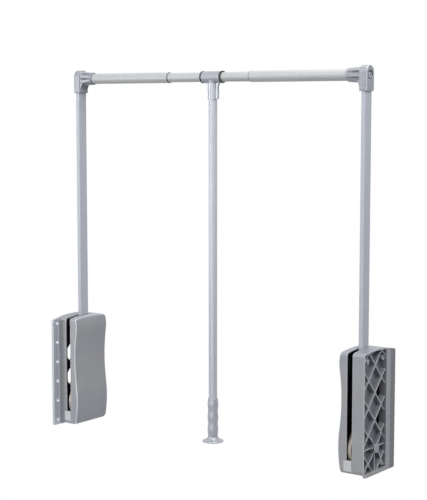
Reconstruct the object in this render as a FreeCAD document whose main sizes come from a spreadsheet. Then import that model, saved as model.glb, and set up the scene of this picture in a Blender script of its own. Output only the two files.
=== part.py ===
import FreeCAD, Part
import math
import os
import types

import Sketcher

# Pull down closet rod: two wall housings, two spring-loaded arms, a telescoping
# hanging rod and a pull handle.
#
# Whole part: X across the wardrobe, -Y towards the user, Z up, origin at the
# bottom centre.  Pieces of one side are drawn in a side frame whose X runs from
# the wall plane inwards; the left side is that frame moved to its wall, and the
# right side is the same frame turned half round.

SIZES = [
    # whole part
    ("half_width", 421, "centre of the rod to either wall plane"),
    ("rod_height", 822.5, "rod axis above the lowest edge"),
    ("pivot_height", 55, "arm pivot above the lowest edge"),
    ("running_gap", 0.05, "radial clearance of a shaft that turns in a bore"),
    ("free_gap", 0.3, "clearance between faces that move past each other"),
    # housing shells
    ("body_depth", 109, "front to back, without the flange"),
    ("body_foot", 5, "underside of the body above the lip's lower edge"),
    ("crown_top", 262.5, "highest line of the arched top"),
    ("crown_radius", 300, "arched top of the body and its flange"),
    ("near_corner", 5, "top corner of the body beside the flange"),
    ("far_corner", 7, "its other top corner"),
    ("foot_corner", 10, "bottom corner of the body on that side"),
    ("shell_wall", 2.8, "rim wall of both shells"),
    ("shell_reach", 27.5, "wall plane to the wall shell's inner edge"),
    ("slot_gap", 13, "width of the slot that the arm swings in"),
    ("flange_reach", 20, "flange beyond the body"),
    ("flange_plate", 5.5, "flange thickness"),
    ("band_edge", 39, "edge of the plain band beside the flange, from the middle"),
    ("channel_width", 12.5, "width of the channel that the wall screws sit in"),
    ("channel_depth", 1.2, "depth of that channel"),
    ("channel_end", 4, "plain flange below and above the channel"),
    ("flange_corner", 3, "outer corners of the flange"),
    ("lip_plate", 7, "thickness of the lip under the body"),
    ("hole_count", 6, "wall screws in the flange"),
    ("hole_pitch", 46.7, "spacing of the wall screws"),
    ("hole_low", 12, "lowest wall screw above the lip's lower edge"),
    ("hole_bore", 5, "wall screw hole"),
    ("hole_sink", 9, "countersink of a wall screw hole"),
    ("hole_inset", 6, "wall screw line from the body's side"),
    # ribbed back of the wall shell
    ("rib_recess", 5, "crest of the ribs from the wall plane"),
    ("pocket_floor", 15, "floor of the ribbed pockets from the wall plane"),
    ("floor_plate", 2.5, "plate behind the pockets"),
    ("rib_width", 2.2, "crest of a rib"),
    ("rib_flare", 0.15, "widening of a rib per unit of depth, each side"),
    ("cell_wide", 53, "diamond pocket, corner to corner across"),
    ("cell_tall", 58, "diamond pocket, corner to corner upwards"),
    ("cell_corner", 5, "corner radius of a diamond pocket"),
    ("spoke_bulge", 4, "rise of the curved ribs at the pivot over their chords"),
    ("boss_bore_floor", 3, "blind end of the axle bore from the wall plane"),
    ("pivot_boss", 19, "diameter of the pivot bosses"),
    ("pivot_boss_reach", 21, "face of the wall shell's pivot boss"),
    ("corner_boss", 10, "diameter of the screw bosses"),
    ("corner_boss_inset", 9.5, "lower screw boss centre from the body's sides"),
    ("high_boss_side", 31, "upper screw bosses from the middle"),
    ("high_boss_height", 240, "height of the upper screw bosses"),
    ("post_side", 31, "plain post under the lowest ribs from the middle"),
    ("post_height", 17, "height of that post"),
    # cover
    ("low_crown", 20.8, "cover thickness at its lower bulge"),
    ("low_crown_height", 62, "height of the lower bulge"),
    ("waist", 14.3, "cover thickness at its waist"),
    ("waist_height", 158, "height of the waist"),
    ("waist_radius", 440, "curve of the waist"),
    ("high_crown", 20.1, "cover thickness at its upper bulge"),
    ("high_crown_height", 235, "height of the upper bulge"),
    ("cover_wall", 2.5, "cover shell wall"),
    ("column_low", 15.2, "reach of the cover's lower screw columns over the slot's face"),
    ("column_high", 18.5, "reach of its upper screw column"),
    ("cover_edge", 2.5, "rounding of the wavy face's edges"),
    ("bridge_start", 15, "closed part of the slot starts this far behind the arm axis"),
    # slot closure
    ("closure_height", 22, "height of the closure block"),
    ("closure_foot", 12, "underside of the closure block"),
    ("closure_lap", 6, "overlap of the closure's face plate on the shell beside it"),
    ("closure_plate", 1.4, "thickness of the face plate"),
    ("closure_plug", 4, "depth of the plug in the slot"),
    # pivot
    ("axle", 10, "pivot axle diameter"),
    ("axle_start", 3.2, "wall end of the axle"),
    ("axle_end", 56.5, "room end of the axle"),
    ("bush_outside", 14, "pivot bush diameter"),
    ("washer_outside", 24, "thrust washer diameter"),
    ("washer_plate", 1.5, "thrust washer thickness"),
    ("barrel_length", 22.4, "length of the hub barrel"),
    ("barrel_outside", 24, "hub barrel diameter"),
    ("disc_clearance", 0.7, "hub disc to the inside of the body's back"),
    ("hub_plate", 3, "thickness of the hub disc's web"),
    ("hub_rim_plate", 7.5, "width of its rim across the wardrobe"),
    ("hub_rim_shift", 1.25, "middle of the rim from the arm's middle, away from the wall"),
    ("hub_rim", 6, "depth of that rim"),
    ("foot_clearance", 4, "hub disc to the ends of the slot under it"),
    ("tongue_top", 150, "top of the hub's tongue inside the arm"),
    ("tongue_root", 88, "where the tongue meets the disc"),
    ("rivet", 5, "arm rivet diameter"),
    ("rivet_head", 9, "arm rivet head diameter"),
    ("rivet_head_plate", 0.9, "arm rivet head thickness"),
    ("rivet_low", 120, "lower rivet height"),
    ("rivet_pitch", 19, "rivet spacing"),
    ("spring_wire", 3.2, "torsion spring wire"),
    ("spring_mean", 19, "mean radius of the torsion spring"),
    ("spring_pitch", 3.7, "coil pitch"),
    ("spring_turns", 3.5, "coils"),
    ("spring_leg", 15, "straight ends of the spring"),
    ("shell_screw", 3.5, "shell screw shank diameter"),
    ("shell_screw_head", 7, "shell screw head diameter"),
    ("shell_screw_plate", 2.4, "shell screw head thickness"),
    ("shell_screw_seat", 9, "shell screw head seat from the wall plane"),
    ("shell_screw_length", 42, "shell screw under its head"),
    # arm
    ("arm_wide", 10, "arm tube across the wardrobe"),
    ("arm_deep", 26, "arm tube front to back"),
    ("arm_wall", 1.2, "arm tube wall"),
    ("arm_corner", 1.6, "arm tube outer corner radius"),
    ("arm_foot_gap", 2, "lower end of the arm tube above the hub disc"),
    ("arm_head_drop", 14, "upper end of the arm tube under the rod axis"),
    # elbow
    ("elbow_wide", 18, "elbow box across the wardrobe"),
    ("elbow_deep", 30, "elbow box front to back"),
    ("elbow_drop", 33, "elbow box below the rod axis"),
    ("elbow_head_lift", 5, "centre of the rounded top above the rod axis"),
    ("elbow_edge", 1.5, "edge rounding of the elbow box"),
    ("arm_fit", 0.1, "play of the arm tube in its elbow"),
    ("socket_length", 33, "rod socket beyond the box"),
    ("socket_root", 16.5, "rod socket radius at the box"),
    ("socket_mouth", 13.9, "rod socket radius at its mouth"),
    ("flute_count", 7, "grooves round the rod socket"),
    ("flute_radius", 2.4, "section radius of a groove"),
    ("flute_sink", 0.8, "centre of a groove inside the socket's widest part"),
    ("web_count", 4, "gusset webs under the socket"),
    ("web_plate", 2.4, "gusset web thickness"),
    ("web_spread", 24, "first to last gusset web, middle to middle"),
    ("web_foot_reach", 0.8, "gusset reach at the foot of the box"),
    ("web_head_reach", 8, "gusset reach under the socket"),
    ("web_curve", 28, "radius of the gusset's hollow edge"),
    ("web_lap", 3, "overlap of the gusset and the socket"),
    ("recess", 20, "screw recess diameter in the elbow's outer face"),
    ("recess_depth", 3.5, "depth of that recess"),
    ("elbow_screw", 6, "elbow screw shank diameter"),
    ("elbow_screw_head", 12, "elbow screw head diameter"),
    ("elbow_screw_plate", 3, "elbow screw head thickness"),
    ("elbow_screw_length", 26, "elbow screw under its head"),
    ("ring_plate", 2.6, "length of the dark ring in the socket's mouth"),
    ("ring_outside", 26.4, "diameter of that ring"),
    # rod
    ("outer_tube", 24, "outer rod tube diameter"),
    ("centre_tube", 21, "centre rod tube diameter"),
    ("centre_wall", 1.3, "centre rod tube wall"),
    ("centre_length", 640, "centre rod tube length"),
    ("left_mouth", 120, "inner end of the left outer tube from the centre"),
    ("right_mouth", 102, "inner end of the right outer tube from the centre"),
    ("rod_seat", 2, "box wall between the outer tube's end and the recess"),
    ("plug_length", 24, "plug in the outer tube's end"),
    # handle
    ("sleeve", 25.6, "T sleeve diameter"),
    ("sleeve_length", 49, "T sleeve length without its rings"),
    ("sleeve_bore", 23, "bore of the T sleeve"),
    ("collar", 27, "diameter of the black rings"),
    ("collar_plate", 3, "width of a ring's collar"),
    ("spigot_length", 9, "part of a ring inside the sleeve"),
    ("stem", 22.5, "T stem barrel diameter"),
    ("stem_drop", 48, "lower end of the stem under the rod axis"),
    ("stem_web", 29, "width of the web behind the stem"),
    ("stem_web_plate", 7, "thickness of that web"),
    ("stem_web_flare", 22, "half width of the web at the sleeve"),
    ("stem_web_curve", 17, "radius of the web's hollow edges"),
    ("stem_web_shoulder", 28, "start of the hollow edges under the rod axis"),
    ("stem_socket_roof", 17, "upper end of the handle rod under the rod axis"),
    ("handle_tube", 19, "handle rod diameter"),
    ("handle_wall", 1.2, "handle rod wall"),
    ("handle_end", 787.5, "lower end of the handle rod under the rod axis"),
    ("pin", 4, "cross pin diameter in the stem"),
    ("pin_drop", 33, "cross pin under the rod axis"),
    ("grip_top", 715.5, "top of the grip under the rod axis"),
    ("grip_bottom", 815.5, "underside of the grip's foot under the rod axis"),
    ("grip_bulge", 12.1, "radius of the grip's three bulges"),
    ("grip_waist", 11, "radius of its waists"),
    ("grip_bulge_length", 27.8, "length of one bulge"),
    ("grip_shoulder", 1.2, "rounded shoulder at the grip's top"),
    ("foot_rim", 24.3, "radius of the flared foot"),
    ("foot_rim_height", 3, "height of the foot's rim"),
    ("foot_throat", 10.4, "radius where the foot leaves the grip"),
    ("foot_flare", 16, "radius of the foot's hollow flare"),
]

OVERCUT = 1.0
SIDES = ("left", "right")

doc = FreeCAD.newDocument("pull_down_closet_rod")
sheet = doc.addObject("Spreadsheet::Sheet", "Sizes")
parts = []


class Size:
    """A number that remembers the sheet expression it is worked out from."""

    def __init__(self, value, text):
        self.value = float(value)
        self.text = text

    def __add__(self, other):
        other = as_size(other)
        return Size(self.value + other.value, f"({self.text} + {other.text})")

    def __sub__(self, other):
        other = as_size(other)
        return Size(self.value - other.value, f"({self.text} - {other.text})")

    def __mul__(self, other):
        other = as_size(other)
        return Size(self.value * other.value, f"({self.text} * {other.text})")

    def __truediv__(self, other):
        other = as_size(other)
        return Size(self.value / other.value, f"({self.text} / {other.text})")

    def __neg__(self):
        return Size(-self.value, f"(0 - {self.text})")

    def __radd__(self, other):
        return as_size(other) + self

    def __rsub__(self, other):
        return as_size(other) - self

    def __rmul__(self, other):
        return as_size(other) * self


def as_size(number):
    if isinstance(number, Size):
        return number
    return Size(number, repr(float(number)))


def root(size):
    return Size(math.sqrt(size.value), f"sqrt({size.text})")


def fill_sheet():
    """One row per driving size: name, value under that alias, and what it is."""
    sizes = types.SimpleNamespace()
    for row, (name, value, note) in enumerate(SIZES, start=1):
        sheet.set(f"A{row}", name)
        sheet.set(f"B{row}", str(value))
        sheet.set(f"C{row}", note)
        sheet.setAlias(f"B{row}", name)
        setattr(sizes, name, Size(value, f"Sizes.{name}"))
    doc.recompute()
    return sizes


S = fill_sheet()

# Places that several pieces share, in the side frame
SLOT_FACE = S.shell_reach + S.slot_gap
ARM_MID = S.shell_reach + S.slot_gap / 2
CORE_REACH = S.pocket_floor + S.floor_plate
SHAFT_BORE = S.axle / 2 + S.running_gap
WASHER_START = S.pivot_boss_reach
BARREL_START = WASHER_START + S.washer_plate + S.free_gap
BARREL_END = BARREL_START + S.barrel_length
COVER_BOSS_FACE = BARREL_END + S.free_gap + S.washer_plate
SPRING_START = ARM_MID + S.hub_plate / 2 + S.spring_wire / 2
BOSS_SIDE = S.body_depth / 2 - S.corner_boss_inset
BOSS_LOW = S.body_foot + S.corner_boss_inset
HUB_RADIUS = S.body_depth / 2 - S.shell_wall - S.disc_clearance
ARM_FOOT = S.pivot_height + HUB_RADIUS + S.arm_foot_gap
ELBOW_INSIDE = ARM_MID + S.elbow_wide / 2
ELBOW_OUTSIDE = ARM_MID - S.elbow_wide / 2
SOCKET_END = ELBOW_INSIDE + S.socket_length
ROD_STOP = ELBOW_OUTSIDE + S.recess_depth + S.rod_seat
OUTER_BORE = S.centre_tube / 2 + S.running_gap
FLANGE_EDGE = S.body_depth / 2 + S.flange_reach
HOLE_LINE = S.body_depth / 2 + S.hole_inset


def crown_at(across):
    """Height of the arched top at this distance from the middle."""
    return S.crown_top - S.crown_radius + root(S.crown_radius * S.crown_radius - across * across)


def disc_at(height):
    """Half width of the hub disc at this height."""
    fall = S.pivot_height - height
    return root(HUB_RADIUS * HUB_RADIUS - fall * fall)


# ---------------------------------------------------------------- helpers


def tie(thing, prop, size):
    """Bind a property to the sheet."""
    thing.setExpression(prop, as_size(size).text)


def new_body(name):
    return doc.addObject("PartDesign::Body", name)


def origin_feature(body, role):
    return [item for item in body.Origin.OriginFeatures if item.Role == role][0]


def new_sketch(body, plane, offset=None):
    """A sketch on one of the body's own planes: YZ looks along X, XZ shows the side, XY the plan."""
    sketch = body.newObject("Sketcher::SketchObject", body.Name + "_sketch")
    sketch.AttachmentSupport = [(origin_feature(body, plane + "_Plane"), "")]
    sketch.MapMode = "FlatFace"
    if offset is not None:
        tie(sketch, "AttachmentOffset.Base.z", offset)
    return sketch


def hold(sketch, kind, size, *where):
    """Add one dimension and bind it to the sheet."""
    size = as_size(size)
    index = sketch.addConstraint(Sketcher.Constraint(kind, *where, size.value))
    sketch.setExpression(f"Constraints[{index}]", size.text)


def circle(sketch, x, y, radius):
    x, y, radius = as_size(x), as_size(y), as_size(radius)
    centre = FreeCAD.Vector(x.value, y.value, 0)
    index = sketch.addGeometry(Part.Circle(centre, FreeCAD.Vector(0, 0, 1), radius.value))
    hold(sketch, "DistanceX", x, -1, 1, index, 3)
    hold(sketch, "DistanceY", y, -1, 1, index, 3)
    hold(sketch, "Radius", radius, index)


def arc_between(start, end, radius, turn):
    """The short arc from start to end; turn is 1 for anticlockwise and -1 for clockwise."""
    chord = end - start
    half = chord.Length / 2
    left = FreeCAD.Vector(-chord.y, chord.x, 0).normalize()
    centre = (start + end) / 2 + left * (turn * math.sqrt(max(radius**2 - half**2, 0)))
    first, last = (start, end) if turn > 0 else (end, start)
    begin = math.atan2(first.y - centre.y, first.x - centre.x)
    finish = math.atan2(last.y - centre.y, last.x - centre.x)
    if finish < begin:
        finish += 2 * math.pi
    return Part.ArcOfCircle(Part.Circle(centre, FreeCAD.Vector(0, 0, 1), radius), begin, finish)


def outline(sketch, corners, arcs=None):
    """A closed outline.  arcs maps a corner's number to (turn, radius) of the arc that starts there."""
    arcs = arcs or {}
    spots = [FreeCAD.Vector(as_size(x).value, as_size(y).value, 0) for x, y in corners]
    ends = []
    for number, (x, y) in enumerate(corners):
        start, end = spots[number], spots[(number + 1) % len(spots)]
        if number in arcs:
            turn, radius = arcs[number]
            radius = as_size(radius)
            index = sketch.addGeometry(arc_between(start, end, radius.value, turn))
            first, last = (1, 2) if turn > 0 else (2, 1)
            hold(sketch, "Radius", radius, index)
        else:
            index = sketch.addGeometry(Part.LineSegment(start, end))
            first, last = 1, 2
        hold(sketch, "DistanceX", x, -1, 1, index, first)
        hold(sketch, "DistanceY", y, -1, 1, index, first)
        ends.append((index, first, last))
    for here, following in zip(ends, ends[1:] + ends[:1]):
        sketch.addConstraint(Sketcher.Constraint("Coincident", here[0], here[2], following[0], following[1]))


def rectangle(sketch, left, bottom, right, top):
    outline(sketch, [(left, bottom), (right, bottom), (right, top), (left, top)])


def pad(body, sketch, length, symmetric=False, reverse=False):
    feature = body.newObject("PartDesign::Pad", body.Name + "_pad")
    feature.Profile = sketch
    tie(feature, "Length", length)
    feature.SideType = "Symmetric" if symmetric else "One side"
    feature.Reversed = reverse
    sketch.Visibility = False
    return feature


def pocket(body, sketch, depth=None, symmetric=False, reverse=False):
    """A cut of the given depth, or through everything.  Without reverse it runs against the plane's normal."""
    feature = body.newObject("PartDesign::Pocket", body.Name + "_pocket")
    feature.Profile = sketch
    if depth is None:
        feature.Type = "ThroughAll"
    else:
        tie(feature, "Length", depth)
    feature.SideType = "Symmetric" if symmetric else "One side"
    feature.Reversed = reverse
    return feature


def revolve(body, sketch, axis):
    """A full turn about the sketch's own H_Axis or V_Axis."""
    feature = body.newObject("PartDesign::Revolution", body.Name + "_turn")
    feature.Profile = sketch
    feature.ReferenceAxis = (sketch, [axis])
    feature.Angle = 360
    return feature


def polar(body, feature, axis, count):
    pattern = body.newObject("PartDesign::PolarPattern", body.Name + "_round")
    pattern.Originals = [feature]
    pattern.Axis = (origin_feature(body, axis), [""])
    pattern.Angle = 360
    tie(pattern, "Occurrences", count)
    body.Tip = pattern
    return pattern


def linear(body, feature, axis, pitch, count):
    """Copies along one of the body's axes at a fixed pitch."""
    pattern = body.newObject("PartDesign::LinearPattern", body.Name + "_row")
    pattern.Originals = [feature]
    pattern.Direction = (origin_feature(body, axis), [""])
    tie(pattern, "Length", pitch * (count - 1))
    tie(pattern, "Occurrences", count)
    body.Tip = pattern
    return pattern


def turned(name, profile, axis="H_Axis", arcs=None):
    """A body turned from a half profile drawn in the XZ plane."""
    body = new_body(name)
    sketch = new_sketch(body, "XZ")
    outline(sketch, profile, arcs)
    revolve(body, sketch, axis)
    return body


def tube(name, start, end, outside, inside, axis="H_Axis"):
    """A round tube between two places on its axis; outside and inside are radii."""
    corners = [(start, inside), (end, inside), (end, outside), (start, outside)]
    if axis == "V_Axis":
        corners = [(across, along) for along, across in reversed(corners)]
    return turned(name, corners, axis)


def rod(name, start, end, radius):
    return turned(name, [(start, 0), (end, 0), (end, radius), (start, radius)])


def boolean(kind, name, base, tool):
    result = doc.addObject("Part::" + kind, name)
    result.Base = base
    result.Tool = tool
    return result


def join(name, pieces):
    result = doc.addObject("Part::MultiFuse", name)
    result.Shapes = pieces
    return result


def group(name, pieces):
    result = doc.addObject("Part::Compound", name)
    result.Links = pieces
    return result


def place(thing, side=None, up=0.0):
    """Move a finished piece from its own frame to its place in the whole part."""
    if side == "right":
        thing.Placement = FreeCAD.Placement(
            FreeCAD.Vector(), FreeCAD.Rotation(FreeCAD.Vector(0, 0, 1), 180)
        )
    if side:
        tie(thing, "Placement.Base.x", S.half_width if side == "right" else -S.half_width)
    tie(thing, "Placement.Base.z", up)


def finish(thing, label, side=None, up=0.0):
    """Place a piece, give it its node name and list it for export."""
    place(thing, side, up)
    thing.Label = label
    parts.append(thing)


def front_sign(side):
    """Direction of the front in the side frame."""
    return -1 if side == "left" else 1


# ---------------------------------------------------------------- housing


def body_outline(sketch, inset):
    """Side view of the housing, moved in by inset: arched top, and one rounded bottom corner, away from the flange."""
    half = S.body_depth / 2
    side = half - inset
    foot = S.body_foot
    near_turn, far_turn, foot_turn = half - S.near_corner, half - S.far_corner, half - S.foot_corner
    outline(
        sketch,
        [
            (-side, foot + inset),
            (foot_turn, foot + inset),
            (side, foot + S.foot_corner),
            (side, crown_at(far_turn) - S.far_corner),
            (far_turn, crown_at(far_turn) - inset),
            (-near_turn, crown_at(near_turn) - inset),
            (-side, crown_at(near_turn) - S.near_corner),
        ],
        {
            1: (1, S.foot_corner - inset),
            3: (1, S.far_corner - inset),
            4: (1, S.crown_radius - inset),
            5: (1, S.near_corner - inset),
        },
    )


def outline_block(name, inset, start, length):
    body = new_body(name)
    sketch = new_sketch(body, "YZ", start)
    body_outline(sketch, inset)
    pad(body, sketch, length)
    return body


def rounded_diamond(reach, y, z, half_wide, half_tall):
    """Wire of a diamond with rounded corners, in the plane at this reach."""
    centre = FreeCAD.Vector(reach, y, z)
    tips = [
        centre + FreeCAD.Vector(0, half_wide, 0),
        centre + FreeCAD.Vector(0, 0, half_tall),
        centre - FreeCAD.Vector(0, half_wide, 0),
        centre - FreeCAD.Vector(0, 0, half_tall),
    ]
    radius = S.cell_corner.value
    arcs = []
    for number, tip in enumerate(tips):
        back = (tips[number - 1] - tip).normalize()
        on = (tips[(number + 1) % 4] - tip).normalize()
        half_angle = back.getAngle(on) / 2
        cut = radius / math.tan(half_angle)
        inward = (back + on).normalize()
        middle = tip + inward * (radius / math.sin(half_angle) - radius)
        arcs.append((tip + back * cut, middle, tip + on * cut))
    edges = []
    for arc, following in zip(arcs, arcs[1:] + arcs[:1]):
        edges.append(Part.Arc(*arc).toShape())
        edges.append(Part.LineSegment(arc[2], following[0]).toShape())
    return Part.Wire(edges)


def tapered_pocket(y, z, start, depth, cells=1):
    """A diamond pocket, some cells across, that narrows towards its floor because ribs widen there."""
    wide, tall = S.cell_wide.value / 2 * cells, S.cell_tall.value / 2 * cells
    side = wide * tall / math.hypot(wide, tall)
    wires = []
    for reach in (start, depth):
        rib = S.rib_width.value / 2 + S.rib_flare.value * (reach - S.rib_recess.value)
        share = 1 - rib / side
        wires.append(rounded_diamond(reach, y, z, wide * share, tall * share))
    return Part.makeLoft(wires, True, True)


def lattice_cells():
    """Centres of the diamond pockets: a net centred on the pivot, less the four pockets that touch it."""
    wide, tall = S.cell_wide.value / 2, S.cell_tall.value / 2
    cells = []
    for row in range(-2, 8):
        for column in range(-2, 3):
            touches_pivot = abs(row) + abs(column) == 1
            if (row + column) % 2 and not touches_pivot:
                cells.append((column * wide, S.pivot_height.value + row * tall))
    return cells


def rib(start, end, bulge):
    """A rib of constant width between two places, bent to its left by the bulge."""
    chord = FreeCAD.Vector(0, end[0] - start[0], end[1] - start[1])
    left = FreeCAD.Vector(0, -chord.z, chord.y).normalize()
    first = FreeCAD.Vector(S.rib_recess.value, start[0], start[1])
    half = left * (S.rib_width.value / 2)
    middle = first + chord / 2 + left * bulge
    last = first + chord
    outer = Part.Arc(first + half, middle + half, last + half).toShape()
    inner = Part.Arc(last - half, middle - half, first - half).toShape()
    ends = [
        Part.LineSegment(last + half, last - half).toShape(),
        Part.LineSegment(first - half, first + half).toShape(),
    ]
    depth = S.pocket_floor.value - S.rib_recess.value
    return Part.Face(Part.Wire([outer, ends[0], inner, ends[1]])).extrude(FreeCAD.Vector(depth, 0, 0))


def straight_rib(start, end):
    """A rib of constant width between two places."""
    chord = FreeCAD.Vector(0, end[0] - start[0], end[1] - start[1])
    half = FreeCAD.Vector(0, -chord.z, chord.y).normalize() * (S.rib_width.value / 2)
    first = FreeCAD.Vector(S.rib_recess.value, start[0], start[1])
    corners = [first + half, first - half, first + chord - half, first + chord + half, first + half]
    depth = S.pocket_floor.value - S.rib_recess.value
    return Part.Face(Part.makePolygon(corners)).extrude(FreeCAD.Vector(depth, 0, 0))


def pinwheel_pocket():
    """The space round the pivot boss, less the boss and the curved and straight ribs that run to it."""
    up = S.pivot_height.value
    wide, tall = S.cell_wide.value, S.cell_tall.value
    bulge = S.spoke_bulge.value
    space = tapered_pocket(0, up, -OVERCUT, S.pocket_floor.value, cells=2)
    pivot = FreeCAD.Vector(-OVERCUT, 0, up)
    along = FreeCAD.Vector(1, 0, 0)
    boss = Part.makeCylinder(S.pivot_boss.value / 2, S.pocket_floor.value + OVERCUT, pivot, along)
    hub = (0, up)
    ribs = [
        rib(hub, (-wide / 2, up + tall / 2), bulge),
        rib(hub, (-wide / 2, up - tall / 2), -bulge),
        rib(hub, (wide / 2, up + tall / 2), bulge),
        rib(hub, (wide / 2, up - tall / 2), -bulge),
        rib(hub, (wide, up), bulge / 2),
        rib(hub, (-wide, up), -bulge / 2),
        straight_rib(hub, (0, up - tall)),
    ]
    return space.cut([boss] + ribs)


def lattice_cutter(name):
    """All pockets of the ribbed back, and the two that go right through beside the flange."""
    cells = lattice_cells()
    floor = S.pocket_floor.value
    pockets = [tapered_pocket(y, z, -OVERCUT, floor) for y, z in cells]
    column = -S.cell_wide.value / 2
    above_pivot = [z for y, z in cells if abs(y - column) < OVERCUT and z > S.pivot_height.value]
    through = CORE_REACH.value + OVERCUT
    pockets += [tapered_pocket(column, z, floor - OVERCUT, through) for z in sorted(above_pivot)[:2]]
    kept = FreeCAD.Vector(-OVERCUT, -S.band_edge.value, -S.crown_top.value)
    room = Part.makeBox(through + 2 * OVERCUT, S.body_depth.value * 2, S.crown_top.value * 3, kept)
    feature = doc.addObject("Part::Feature", name)
    feature.Shape = Part.makeCompound([piece.common(room) for piece in pockets + [pinwheel_pocket()]])
    return feature


def boss_places(side=None):
    """Screw bosses of the wall shell, or only the two with a screw on this side: low in front, high behind."""
    places = [(sign * BOSS_SIDE, BOSS_LOW) for sign in (-1, 1)]
    places += [(sign * S.high_boss_side, S.high_boss_height) for sign in (-1, 1)]
    if side is None:
        return places
    front = front_sign(side)
    return [(front * BOSS_SIDE, BOSS_LOW), (-front * S.high_boss_side, S.high_boss_height)]


def wall_shell_frame(name):
    """Rim, flange and plain band with the row of countersunk holes in its channel, lip, and bosses."""
    body = new_body(name)
    rim = new_sketch(body, "YZ")
    body_outline(rim, as_size(0))
    body_outline(rim, S.shell_wall)
    pad(body, rim, S.shell_reach)
    flange = new_sketch(body, "YZ")
    corner = S.flange_corner
    flange_top = crown_at(FLANGE_EDGE - corner)
    outline(
        flange,
        [
            (-FLANGE_EDGE + corner, 0),
            (-S.band_edge, 0),
            (-S.band_edge, crown_at(S.band_edge)),
            (-FLANGE_EDGE + corner, flange_top),
            (-FLANGE_EDGE, flange_top - corner),
            (-FLANGE_EDGE, corner),
        ],
        {2: (1, S.crown_radius), 3: (1, corner), 5: (1, corner)},
    )
    pad(body, flange, S.flange_plate)
    lip = new_sketch(body, "YZ")
    rectangle(lip, -S.body_depth / 2, 0, S.body_depth / 2 - S.foot_corner, S.body_foot + S.shell_wall / 2)
    pad(body, lip, S.lip_plate)
    bosses = new_sketch(body, "YZ", S.rib_recess)
    for y, z in boss_places():
        circle(bosses, y, z, S.corner_boss / 2)
    pad(body, bosses, S.shell_reach - S.rib_recess)
    post = new_sketch(body, "YZ", S.rib_recess)
    circle(post, -S.post_side, S.post_height, S.corner_boss / 2)
    pad(body, post, CORE_REACH - S.rib_recess)
    channel = new_sketch(body, "YZ", S.flange_plate)
    side = S.body_depth / 2
    rectangle(channel, -side - S.channel_width, S.channel_end, -side, flange_top - S.channel_end)
    pocket(body, channel, S.channel_depth)
    hole_spot = new_sketch(body, "YZ", S.flange_plate - S.channel_depth)
    circle(hole_spot, -HOLE_LINE, S.hole_low, S.hole_bore / 2)
    doc.recompute()
    hole = body.newObject("PartDesign::Hole", body.Name + "_hole")
    hole.Profile = hole_spot
    hole.DepthType = "ThroughAll"
    tie(hole, "Diameter", S.hole_bore)
    hole.HoleCutType = "Countersink"
    hole.HoleCutCustomValues = True
    tie(hole, "HoleCutDiameter", S.hole_sink)
    hole.HoleCutCountersinkAngle = 90
    linear(body, hole, "Z_Axis", S.hole_pitch, S.hole_count)
    return body


def core_block(name):
    """The block that the ribs are cut from; beside the flange it stops one rib's width past the pockets."""
    body = outline_block(name, S.shell_wall / 2, S.rib_recess, CORE_REACH - S.rib_recess)
    band = new_sketch(body, "YZ", S.rib_recess)
    rectangle(band, -S.body_depth, 0, -S.band_edge - S.rib_width, S.crown_top * 2)
    pocket(body, band, CORE_REACH, reverse=True)
    return body


def wall_shell(side):
    """The shell on the wardrobe's side: ribbed towards the wall, hollow towards the arm."""
    ribbed = boolean("Cut", side + "_ribbed", core_block(side + "_core"), lattice_cutter(side + "_pockets"))
    boss = new_body(side + "_boss")
    ring = new_sketch(boss, "YZ")
    circle(ring, 0, S.pivot_height, S.pivot_boss / 2)
    pad(boss, ring, S.pivot_boss_reach)
    whole = join(side + "_wall_whole", [wall_shell_frame(side + "_frame"), ribbed, boss])
    bores = new_body(side + "_wall_bores")
    axle_bore = new_sketch(bores, "YZ", S.boss_bore_floor)
    circle(axle_bore, 0, S.pivot_height, SHAFT_BORE)
    pad(bores, axle_bore, S.shell_reach)
    drills = [bores]
    for number, (y, z) in enumerate(boss_places(side)):
        drill = turned(
            f"{side}_drill_{number}",
            [
                (-OVERCUT, 0),
                (S.shell_reach + OVERCUT, 0),
                (S.shell_reach + OVERCUT, S.shell_screw / 2),
                (S.shell_screw_seat, S.shell_screw / 2),
                (S.shell_screw_seat, S.shell_screw_head / 2 + S.free_gap),
                (-OVERCUT, S.shell_screw_head / 2 + S.free_gap),
            ],
        )
        tie(drill, "Placement.Base.y", y)
        tie(drill, "Placement.Base.z", z)
        drills.append(drill)
    shell = boolean("Cut", side + "_wall_shell", whole, join(side + "_wall_drills", drills))
    finish(shell, side + "_wall_shell", side)


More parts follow.
